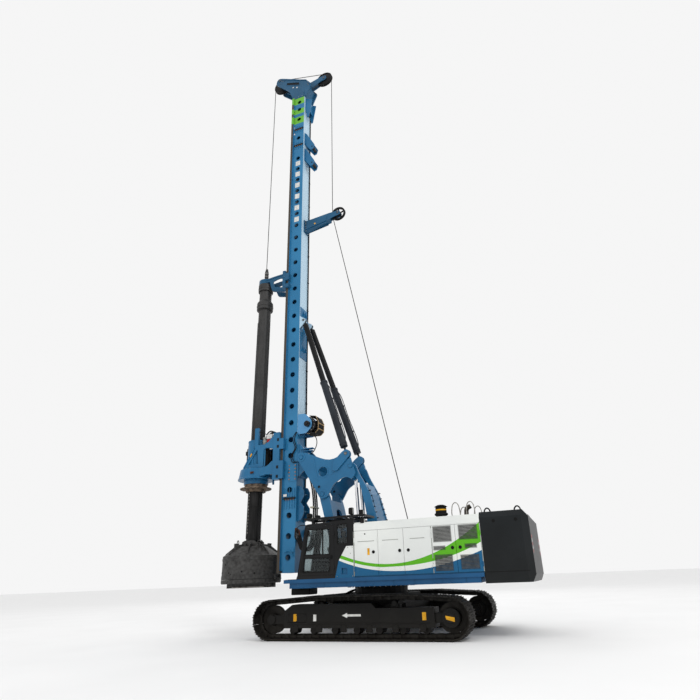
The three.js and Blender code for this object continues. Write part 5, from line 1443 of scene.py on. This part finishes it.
def dress_head():
    body = "mast"
    # Dark sheets on the solid cheeks: painted shade standing for the recess of each slot.
    slots = [sheet_of(
        "slot", [(3.09, 23.62), (3.76, 23.90), (3.76, 24.06), (3.09, 23.78)],
        0.3505 * s, 0.004 * s, 0.05) for s in (1, -1)]
    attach(paint(join("cheek_slot_shade", slots), rubber), body)
    rims = [sheet_of(
        "rim", [(3.05, 23.58), (3.80, 23.89), (3.80, 24.10), (3.05, 23.82)], 0.3505 * s, 0.010 * s,
        0.07, rim=0.03) for s in (1, -1)]
    edges = [flat("edge", [
        (2.52, 23.42), (2.56, 23.42), (2.72, 23.76), (4.06, 24.38), (4.22, 24.46), (4.20, 24.50),
        (4.04, 24.43), (2.69, 23.79)], 0.350 * s, 0.02 * s) for s in (1, -1)]
    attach(paint(join("cheek_rims", [*rims, *edges]), head_blue), body)
    dots = [
        block("dot", (x - 0.035, 0.351 * s, z - 0.035), (x + 0.035, 0.354 * s, z + 0.035),
        bevel=0.001) for s in (1, -1) for x, z in ((3.41, 23.59), (3.20, 23.50))]
    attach(paint(join("head_blank_plates", dots), marker_white), body)
    pins = pin_ends("sheave_pins", [(4.18, 24.40, 0.362, 0.05), (1.88, 23.80, 0.125, 0.05)])
    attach(paint(pins, pin_steel), body)
    spots = [(x, 0.351 * s, z) for s in (1, -1) for x, z in (
        (4.05, 24.33), (3.95, 24.29), (2.62, 23.50), (2.58, 23.40), (2.9, 22.80), (3.1, 22.80),
        (3.3, 22.80))]
    for name, s in (("left", 1), ("right", -1)):
        heads = bolts(
            f"head_bolts_{name}", [p for p in spots if p[1] * s > 0], 0.02, 0.018, (0, s, 0))
        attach(paint(heads, bolt_steel), body)
    ribs = [flat("rib", [(2.80, 22.76), (2.82, 22.76), (2.82, 23.10), (2.80, 23.10)], y, 0.02)
            for y in (0.351, -0.371)]
    ribs += [block("deck", (2.82, -0.30, 23.60), (3.5, 0.30, 23.62), bevel=0.004)]
    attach(paint(join("head_ribs", ribs), head_blue), body)


dress_head()
dress_sheave("head_sheave_hub", "head_sheave", 4.18, 24.40, 0.47, 0.06)
dress_sheave("rear_sheave_hub", "rear_sheave", 1.88, 23.80, 0.40, 0.06)
spoked_sheave("guide_sheave", 1.25, 15.56, 0.31, 0.27, 0.05)

# ------------------------------------------------------------------ guide arm
# A short box arm of welded plate, bolted behind the mast along a flange. It carries the spoked
# sheave that holds the rope clear of the mast.


def dress_guide_arm():
    body = "mast"
    pins = pin_ends("guide_pins", [(1.25, 15.56, 0.112, 0.045)])
    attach(paint(pins, pin_steel), body)
    plate = [flat(
        "doubler", [(1.75, 15.20), (2.70, 15.05), (2.72, 15.40), (1.75, 15.52)], 0.1005 * s,
        0.012 * s) for s in (1, -1)]
    plate += [flat(
        "rib", [(1.62, 15.30), (2.74, 15.10), (2.74, 15.13), (1.62, 15.33)], 0.112 * s, 0.03 * s)
        for s in (1, -1)]
    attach(paint(join("guide_arm_doublers", plate), head_blue), body)
    dot = block("dot", (2.26, 0.113, 15.28), (2.33, 0.116, 15.34), bevel=0.001)
    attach(paint(dot, marker_yellow), body)
    heads = bolts(
        "guide_arm_bolts", [(2.72, y, 15.04 + 0.1 * i) for i in range(6) for y in (0.13, -0.13)],
        0.016, 0.03, (-1, 0, 0))
    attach(paint(heads, bolt_steel), body)


dress_guide_arm()

# ------------------------------------------------------------------ ropes
# One greased wire rope runs from the kelly's swivel over both head sheaves, down past the guide
# sheave and on to the main winch. It is taut all the way.
rope_radius = 0.015


def rope_line(name, route):
    """A taut stretch of rope through given points of one plane."""
    made = pipe(name, [(x, 0, z) for x, z in route], rope_radius, sides=2, smooth=False)
    return paint(made, wire_rope)


def touch(first, second, side):
    """Where a straight rope leaves one sheave and meets the next, both on the same side."""
    (x0, z0, r0), (x1, z1, r1) = first, second
    run = math.hypot(x1 - x0, z1 - z0)
    ux, uz = (x1 - x0) / run, (z1 - z0) / run
    sine = (r0 - r1) / run
    cosine = math.sqrt(1 - sine * sine) * side
    nx, nz = ux * sine - uz * cosine, uz * sine + ux * cosine
    return (x0 + r0 * nx, z0 + r0 * nz), (x1 + r1 * nx, z1 + r1 * nz)


def round_sheave(sheave, start, end, ways=10):
    """Points round a sheave from one touching point to the other, the short way."""
    x, z, r = sheave
    a = math.atan2(start[1] - z, start[0] - x)
    b = math.atan2(end[1] - z, end[0] - x)
    b += 2 * math.pi * round((a - b) / (2 * math.pi))
    return [round_spot(x, z, r, a + (b - a) * i / ways) for i in range(ways + 1)]


front_sheave, back_sheave = (4.18, 24.40, 0.435), (1.88, 23.80, 0.36)
guide = (1.25, 15.56, 0.27)
drum = (-1.45, 2.30, 0.316)
over_front, over_back = touch(front_sheave, back_sheave, -1)
leave_guide, meet_drum = touch(guide, drum, 1)
head_route = [(4.615, 12.45), (4.615, 24.40)]
head_route += round_sheave(front_sheave, (4.615, 24.40), over_front)[1:]
head_route += round_sheave(back_sheave, over_back, (1.52, 23.80))
head_route += round_sheave(guide, (1.52, 15.56), leave_guide, 3)
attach(rope_line("head_rope", head_route), "mast")
winch_rope = rope_line("winch_rope", [
    tuple(a + (b - a) * i / 12 for a, b in zip(leave_guide, meet_drum)) for i in range(13)])
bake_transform(winch_rope)

# ------------------------------------------------------------------ auxiliary winch
# A small winch bolted behind the mast: black drum and motor, a band of yellow and black round its
# guard, and one hose that hangs down to the triangle.
banding = surface(
    "ochre edge marking", (0.62, 0.42, 0.20), (0.45, 0.29, 0.12), size=9, rough=(0.35, 0.55))


def dress_aux_winch():
    dress_winch("aux_winch", "aux_winch", 2.40, 6.55, 0.19, 0.235, 0.010, 0.235, 0.271)
    body = "mast"
    motor = [rod("motor", (2.40, 0.331, 6.55), (2.40, 0.43, 6.55), 0.105, 24, 0.012),
             rod("cap", (2.40, 0.42, 6.55), (2.40, 0.46, 6.55), 0.06, 20, 0.008)]
    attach(paint(join("aux_winch_motor", motor), winch_iron), body)
    outside = [
        (2.46, 6.235), (2.16, 6.225), (2.045, 6.33), (2.03, 6.62), (2.13, 6.835), (2.36, 6.875)]
    inside = [
        (2.36, 6.850), (2.145, 6.812), (2.052, 6.61), (2.066, 6.34), (2.17, 6.25), (2.46, 6.26)]
    cover = [flat("cover", outside + inside, -0.262, 0.524)]
    cover += [rod("stay", (2.10, -0.28, z), (2.10, 0.28, z), 0.02, 12) for z in (6.32, 6.74)]
    cover.append(block("port", (2.14, 0.14, 6.13), (2.34, 0.26, 6.24), bevel=0.012))
    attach(paint(join("aux_winch_guard", cover), rubber), body)
    bands = [flat(
        "band", outside[:5] + [(2.124, 6.842), (2.021, 6.622), (2.037, 6.327), (2.158, 6.216),
        (2.46, 6.227)], y, 0.028) for y in (-0.245, 0.215)]
    bands += [block(
        "band", (2.022, -0.22, z), (2.045, 0.22, z + 0.028), bevel=0.002) for z in (6.36, 6.56)]
    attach(paint(join("aux_winch_bands", bands), banding), body)
    heads = bolts(
        "aux_frame_bolts", [(2.755, y, 6.27 + 0.095 * i) for i in range(7) for y in (0.31, -0.31)],
        0.016, 0.035, (-1, 0, 0))
    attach(paint(heads, bolt_steel), body)
    hose = pipe("aux_winch_hose", [
        (2.20, 0.30, 6.16), (2.10, 0.31, 6.06), (2.035, 0.32, 5.88), (2.07, 0.33, 5.68),
        (2.18, 0.33, 5.52), (2.28, 0.30, 5.47)], 0.015)
    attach(paint(hose, rubber), body)
    shelf = [block("shelf", (2.18, 0.18, 5.66), (2.66, 0.36, 5.69), bevel=0.006),
             block("shelf", (2.20, 0.18, 5.575), (2.60, 0.36, 5.605), bevel=0.006)]
    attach(paint(join("bracket_shelves", shelf), mast_blue), body)


dress_aux_winch()

# ------------------------------------------------------------------ backstay cylinders
# Long cylinders hold the mast: slate barrels with gland rings below, black rod tubes above, with
# pinned eyes at both ends.
for hand, s in (("left", 1), ("right", -1)):
    dress_barrel(f"stay_gland_{hand}", f"stay_barrel_{hand}", (0.814, 0.60 * s, 5.26),
                 (2.628, 0.27 * s, 10.70), 0.125, 0.05, 0.5)


def dress_stays():
    pins = pin_ends("stay_foot_pins", [(0.814, 5.26, 0.677, 0.05)])
    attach(paint(pins, pin_steel), "triangle")
    tops = pin_ends("stay_head_pins", [(2.628, 10.70, 0.352, 0.045)])
    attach(paint(tops, pin_steel), "mast")


dress_stays()

# ------------------------------------------------------------------ rotary drive
# A carriage clamped on the mast's rails carries a welded gearbox with three black motors, a valve
# block, hose arches and a post. The driven sleeve below ends in a rusty flange.
for node in ("drive_carriage", "drive_gearbox"):
    paint(node, mast_blue)
paint("kelly_guide", head_blue)
bore_x = 4.6  # the drill string's axis
flange_rust = surface(
    "rust-dusted flange", (0.200, 0.150, 0.110), (0.085, 0.062, 0.046), size=6, rough=(0.55, 0.85),
    metal=0.2, relief=0.002)
valve_red = surface(
    "red valve paint", (0.42, 0.03, 0.03), (0.30, 0.02, 0.02), size=14, rough=(0.3, 0.5))


def dress_drive():
    body = "drive"
    neck = turned_shell("sleeve_neck", [
        (0.285, 4.412), (0.345, 4.412), (0.345, 4.50), (0.548, 4.515), (0.549, 4.545),
        (0.40, 4.565), (0.40, 4.669), (0.285, 4.669)], (bore_x, 0, 0))
    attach(paint(neck, flange_rust), "drive_sleeve")
    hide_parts("drive_sleeve")
    jackets = []
    for x, y, top in ((4.075, 0.20, 5.78), (4.075, -0.20, 5.78), (5.05, -0.20, 6.06)):
        jackets += [
            rod("motor", (x, y, 5.20), (x, y, top + 0.002), 0.1215, 24, 0.01),
            rod("brake", (x, y, top), (x, y, top + 0.122), 0.0885, 24, 0.008),
            block("port", (x - 0.10, y - 0.05, top - 0.25),
                (x - 0.02 + 0.14, y + 0.128, top - 0.10), bevel=0.012)]
        jackets += [rod(
            "ring", (x, y, z), (x, y, z + 0.03), 0.132, 24, 0.006) for z in (5.21, 5.45)]
    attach(paint(join("drive_motors", jackets), rubber), body)
    valve = [block("valve", (3.86, 0.08, 6.23), (4.09, 0.28, 6.39), bevel=0.012)]
    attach(paint(join("valve_box", valve), marker_white), body)
    red = [block("valve", (3.90, 0.10, 6.05), (4.07, 0.27, 6.22), bevel=0.012)]
    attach(paint(join("valve_block", red), valve_red), body)
    filter_can = [
        rod("can", (4.20, 0.18, 5.98), (4.20, 0.18, 6.26), 0.075, 20, 0.012),
        rod("cap", (4.20, 0.18, 6.25), (4.20, 0.18, 6.31), 0.085, 20, 0.008),
        block("bracket", (3.96, 0.12, 6.00), (4.20, 0.24, 6.04), bevel=0.004)]
    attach(paint(join("drive_filter", filter_can), seam_grey), body)
    hoses = []
    for i in range(5):
        y = -0.26 + 0.12 * i
        hoses.append(pipe("hose", [
            (4.10 + 0.02 * i, y * 0.7, 6.0), (4.12, y, 6.32), (4.0, y, 6.50 - 0.02 * (i % 2)),
            (3.82, y, 6.47), (3.66, y, 6.36), (3.56, y, 6.15), (3.54, y, 5.85)], 0.024))
    hoses.append(pipe("hose", [
        (4.40, 0.345, 6.52), (4.30, 0.33, 6.50), (4.16, 0.29, 6.44), (4.06, 0.24, 6.38)], 0.014))
    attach(paint(join("drive_hoses", hoses), rubber), body)
    caps = [rod("post_cap", (4.4225, 0.345, 6.62), (4.4225, 0.345, 6.66), 0.05, 16, 0.02)]
    for s in (1, -1):
        caps.append(rod("stop", (3.62, 0.46 * s, 4.54), (3.62, 0.46 * s, 4.72), 0.035, 16, 0.01))
        caps.append(flat(
            "rib", [(4.02, 5.24), (4.06, 5.24), (4.06, 5.82), (4.02, 5.82)], 0.391 * s, 0.02 * s))
        caps.append(flat(
            "rib", [(4.12, 5.20), (4.90, 5.20), (4.90, 5.23), (4.12, 5.23)], 0.391 * s, 0.02 * s))
        caps.append(flat(
            "rib", [(4.88, 5.23), (4.92, 5.23), (4.52, 5.90), (4.48, 5.90)], 0.391 * s, 0.02 * s))
    caps.append(rod("collar", (bore_x, 0, 6.18), (bore_x, 0, 6.235), 0.352, 40, 0.01))
    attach(paint(join("drive_ribs", caps), mast_blue), body)
    tags = [flat("tag", [(4.66, 5.63), (4.60, 5.74), (4.555, 5.71), (4.615, 5.60)], 0.412, 0.003)]
    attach(paint(join("drive_tag", tags), marker_yellow), body)
    plate = [block("plate", (4.34, 0.595, 4.975), (4.48, 0.606, 5.045), bevel=0.002)]
    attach(paint(join("drive_blank_plate", plate), rust), body)
    spots = ring_of((bore_x, 0, 5.18), 0.53, 20, "z", 0.1)
    heads = bolts("gearcase_bolts", [p for p in spots if p[0] > 4.45], 0.018, 0.022, (0, 0, 1))
    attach(paint(heads, bolt_steel), body)
    foot = bolts("gearbox_foot_bolts", [
        (3.985, y * s, z) for s in (1, -1) for y in (0.34, 0.44) for z in (4.96, 5.12, 5.90, 5.97)],
        0.018, 0.03, (-1, 0, 0))
    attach(paint(foot, orange_bolts), body)
    pads = []
    for s in (1, -1):
        for z in (4.80, 5.12, 5.84, 6.08):
            pads.append(block(
                "pad", (3.42, 0.511 * s, z - 0.05), (3.50, 0.522 * s, z + 0.05), bevel=0.004))
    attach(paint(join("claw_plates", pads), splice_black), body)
    lip = bolts(
        "sleeve_bolts", ring_of((bore_x, 0, 4.512), 0.50, 24, "z"), 0.016, 0.014, (0, 0, -1))
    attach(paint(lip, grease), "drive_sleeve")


dress_drive()

# ------------------------------------------------------------------ kelly guide, bar and swivel
# The guide's ring turns with the bar on a bearing. The bar is a worn tube with drive keys welded
# down its length, and hangs on the rope by a swivel.
kelly_steel = surface(
    "worn kelly steel", (0.030, 0.029, 0.029), (0.012, 0.012, 0.012), size=4, rough=(0.4, 0.65),
    metal=0.4, relief=0.003, stretch=(1, 1, 0.25), dust=(4.5, 7.5, (0.110, 0.109, 0.107), 0.75))
bucket_steel = surface(
    "scraped bucket steel", (0.085, 0.084, 0.082), (0.034, 0.033, 0.032), size=11,
    rough=(0.45, 0.75), metal=0.3, relief=0.003, low=0.30, high=0.74)
paint("kelly", kelly_steel)


def turned_about(centre, degrees, lift=0.0):
    """The matrix that turns a part round an upright axis and lifts it."""
    return (Matrix.Translation(centre) @ Matrix.Rotation(math.radians(degrees), 4, "Z")
            @ Matrix.Translation(Vector((0, 0, lift)) - centre))


def dress_kelly():
    length = (2.86, 11.12)
    key = block(
        "key", (bore_x + 0.236, -0.022, length[0]), (bore_x + 0.262, 0.022, length[1]), bevel=0.005)
    centre = at(bore_x, 0, 0)
    keys = repeat("kelly_keys", key, [
        turned_about(centre, degrees) for degrees in (36, 66, 156, 186, 276, 306)])
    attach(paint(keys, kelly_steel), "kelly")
    notch = block(
        "notch", (bore_x + 0.258, -0.024, 3.02), (bore_x + 0.2655, 0.024, 3.075), bevel=0.002)
    notches = repeat("key_notches", notch, [
        turned_about(centre, degrees, 0.11 * i) for degrees in (66, 186, 306) for i in range(13)])
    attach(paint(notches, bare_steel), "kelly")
    rings = []
    for z, radius in ((3.9, 0.252), (8.4, 0.252), (11.83, 0.334), (12.66, 0.306)):
        rings.append(turned_shell("ring", [
            (0.235, z), (radius, z + 0.006), (radius, z + 0.05), (0.235, z + 0.056)], (bore_x, 0,
            0), 40))
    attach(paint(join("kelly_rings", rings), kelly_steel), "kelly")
    swivel = [rod("swivel", (bore_x, 0, z), (bore_x, 0, z + 0.04), 0.088, 24, 0.008)
              for z in (13.16, 13.30, 13.46)]
    swivel.append(rod("socket", (bore_x, 0, 13.60), (bore_x, 0, 13.69), 0.055, 20, 0.01, cone=0.03))
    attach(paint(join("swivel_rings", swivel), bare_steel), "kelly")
    ears = bolts(
        "guide_ring_bolts", ring_of((bore_x, 0, 13.06), 0.26, 16, "z"), 0.014, 0.02, (0, 0, 1))
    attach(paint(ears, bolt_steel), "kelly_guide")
    webs = []
    for s in (1, -1):
        webs.append(flat("edge", [(3.62, 12.27), (4.10, 12.39), (4.10, 12.42), (3.62, 12.30)],
                         0.2505 * s, 0.018 * s))
        webs.append(flat("edge", [
            (3.66, 13.06), (3.99, 13.04), (4.70, 12.96), (4.70, 12.93), (3.99, 13.01),
            (3.66, 13.03)], 0.2505 * s, 0.018 * s))
        webs.append(block("claw", (3.42, 0.511 * s, 12.30), (3.50, 0.522 * s, 12.42), bevel=0.004))
        webs.append(block("claw", (3.42, 0.511 * s, 12.72), (3.50, 0.522 * s, 12.88), bevel=0.004))
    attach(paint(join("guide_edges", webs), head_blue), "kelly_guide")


dress_kelly()

# ------------------------------------------------------------------ drilling bucket and its door
# A welded bucket with a ribbed cone, two hoops, a square drive box with a cross pin, and a hinged
# bottom door held by a latch. Scraped bare by the ground.


def dress_bucket():
    centre = (bore_x, 0, 0)
    shell = turned_shell("bucket_shell", [
        (0.20, 2.604), (0.515, 2.604), (0.968, 2.302), (0.968, 2.245), (0.979, 2.235),
        (0.979, 2.17), (0.968, 2.16), (0.968, 1.72), (0.979, 1.71), (0.979, 1.60), (0.970, 1.592),
        (0.944, 1.592), (0.944, 2.270), (0.500, 2.566), (0.20, 2.566)], centre)
    middle = at(*centre)
    rib = flat("rib", [
        (bore_x + 0.20, 2.598), (bore_x + 0.52, 2.598), (bore_x + 0.93, 2.322),
        (bore_x + 0.90, 2.40), (bore_x + 0.56, 2.665), (bore_x + 0.20, 2.70)], -0.012, 0.024)
    ribs = repeat("ribs", rib, [turned_about(middle, 22 + 45 * i) for i in range(8)])
    box = block("drive_box", (bore_x - 0.20, -0.20, 2.55), (bore_x + 0.20, 0.20, 2.715), bevel=0.02)
    cross = rod("cross_pin", (bore_x, -0.29, 2.655), (bore_x, 0.29, 2.655), 0.045, 16, 0.008)
    ears = []
    for x, y in ((0.42, 0.42), (-0.42, 0.42), (0.42, -0.42), (-0.42, -0.42)):
        ears.append(block(
            "lug", (bore_x + x - 0.05, y - 0.015, 2.48), (bore_x + x + 0.05, y + 0.015, 2.715),
            bevel=0.012))
        ears.append(block(
            "lug", (bore_x + x - 0.05, y * 0.75 - 0.015, 2.52),
            (bore_x + x + 0.05, y * 0.75 + 0.015, 2.715), bevel=0.012))
        ears.append(rod(
            "pin", (bore_x + x, y * 0.70, 2.67), (bore_x + x, y * 1.06, 2.67), 0.022, 12))
    for a in (18, 72, 108, 162, 198, 252, 288, 342):
        turn = math.radians(a)
        x, y = round_spot(bore_x, 0, 0.34, turn)
        ears.append(rod("stud", (x, y, 2.56), (x, y, 2.71), 0.035, 10, 0.008))
    for y in (0.235, -0.265):
        ears.append(flat("cheek", [
            (4.30, 2.60), (4.90, 2.60), (4.86, 2.76), (4.76, 2.80), (4.44, 2.80), (4.34, 2.76)], y,
            0.03))
    ears.append(pipe("handle", [
        (4.92, 0.46, 2.58), (4.92, 0.46, 2.76), (4.80, 0.56, 2.76), (4.80, 0.56, 2.50)], 0.014))
    ears.append(pipe("handle", [
        (4.10, 0.50, 2.50), (4.10, 0.50, 2.74), (3.98, 0.42, 2.74), (3.98, 0.42, 2.46)], 0.014))
    hinge = [block(
        "ear", (3.58, y, 1.60), (3.64, y + 0.075, 1.715), bevel=0.008) for y in (0.124, -0.199)]
    hinge += [rod("knuckle", (3.595, y, 1.587), (3.595, y + 0.075, 1.587), 0.024, 14)
              for y in (0.124, -0.199)]
    made = join("bucket_body", [shell, ribs, box, cross, *ears, *hinge])
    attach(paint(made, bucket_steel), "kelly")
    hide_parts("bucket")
    # Black discs on the shell: painted shade standing for the holes' dark insides.
    holes = []
    for a, z, r in (
        (62, 2.05, 0.032), (40, 1.80, 0.026), (46, 1.78, 0.018), (75, 1.79, 0.026),
        (80, 1.75, 0.018), (104, 1.82, 0.03), (128, 1.76, 0.03), (215, 2.05, 0.032),
        (260, 1.8, 0.026), (310, 1.79, 0.026)):
        turn = math.radians(a)
        x, y = round_spot(bore_x, 0, 0.967, turn)
        holes.append(rod("hole", (x, y, z), (*round_spot(x, y, 0.005, turn), z), r, 14))
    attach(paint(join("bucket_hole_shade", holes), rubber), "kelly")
    latch = [block(
        "latch", (bore_x + 0.955, -0.07, 1.66), (bore_x + 0.9785, 0.07, 1.95), bevel=0.008)]
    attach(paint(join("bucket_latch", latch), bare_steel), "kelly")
    paint("bucket_door", bucket_steel)
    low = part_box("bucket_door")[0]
    plates = [block(
        "tooth_row", (bore_x - 0.62, y - 0.05, low.z + 0.004),
        (bore_x + 0.62, y + 0.05, low.z + 0.05), bevel=0.012) for y in (-0.16, 0.16)]
    plates.append(rod(
        "stub", (bore_x, 0, low.z + 0.002), (bore_x, 0, low.z + 0.10), 0.12, 20, 0.01))
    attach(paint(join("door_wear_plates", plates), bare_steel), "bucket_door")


dress_bucket()
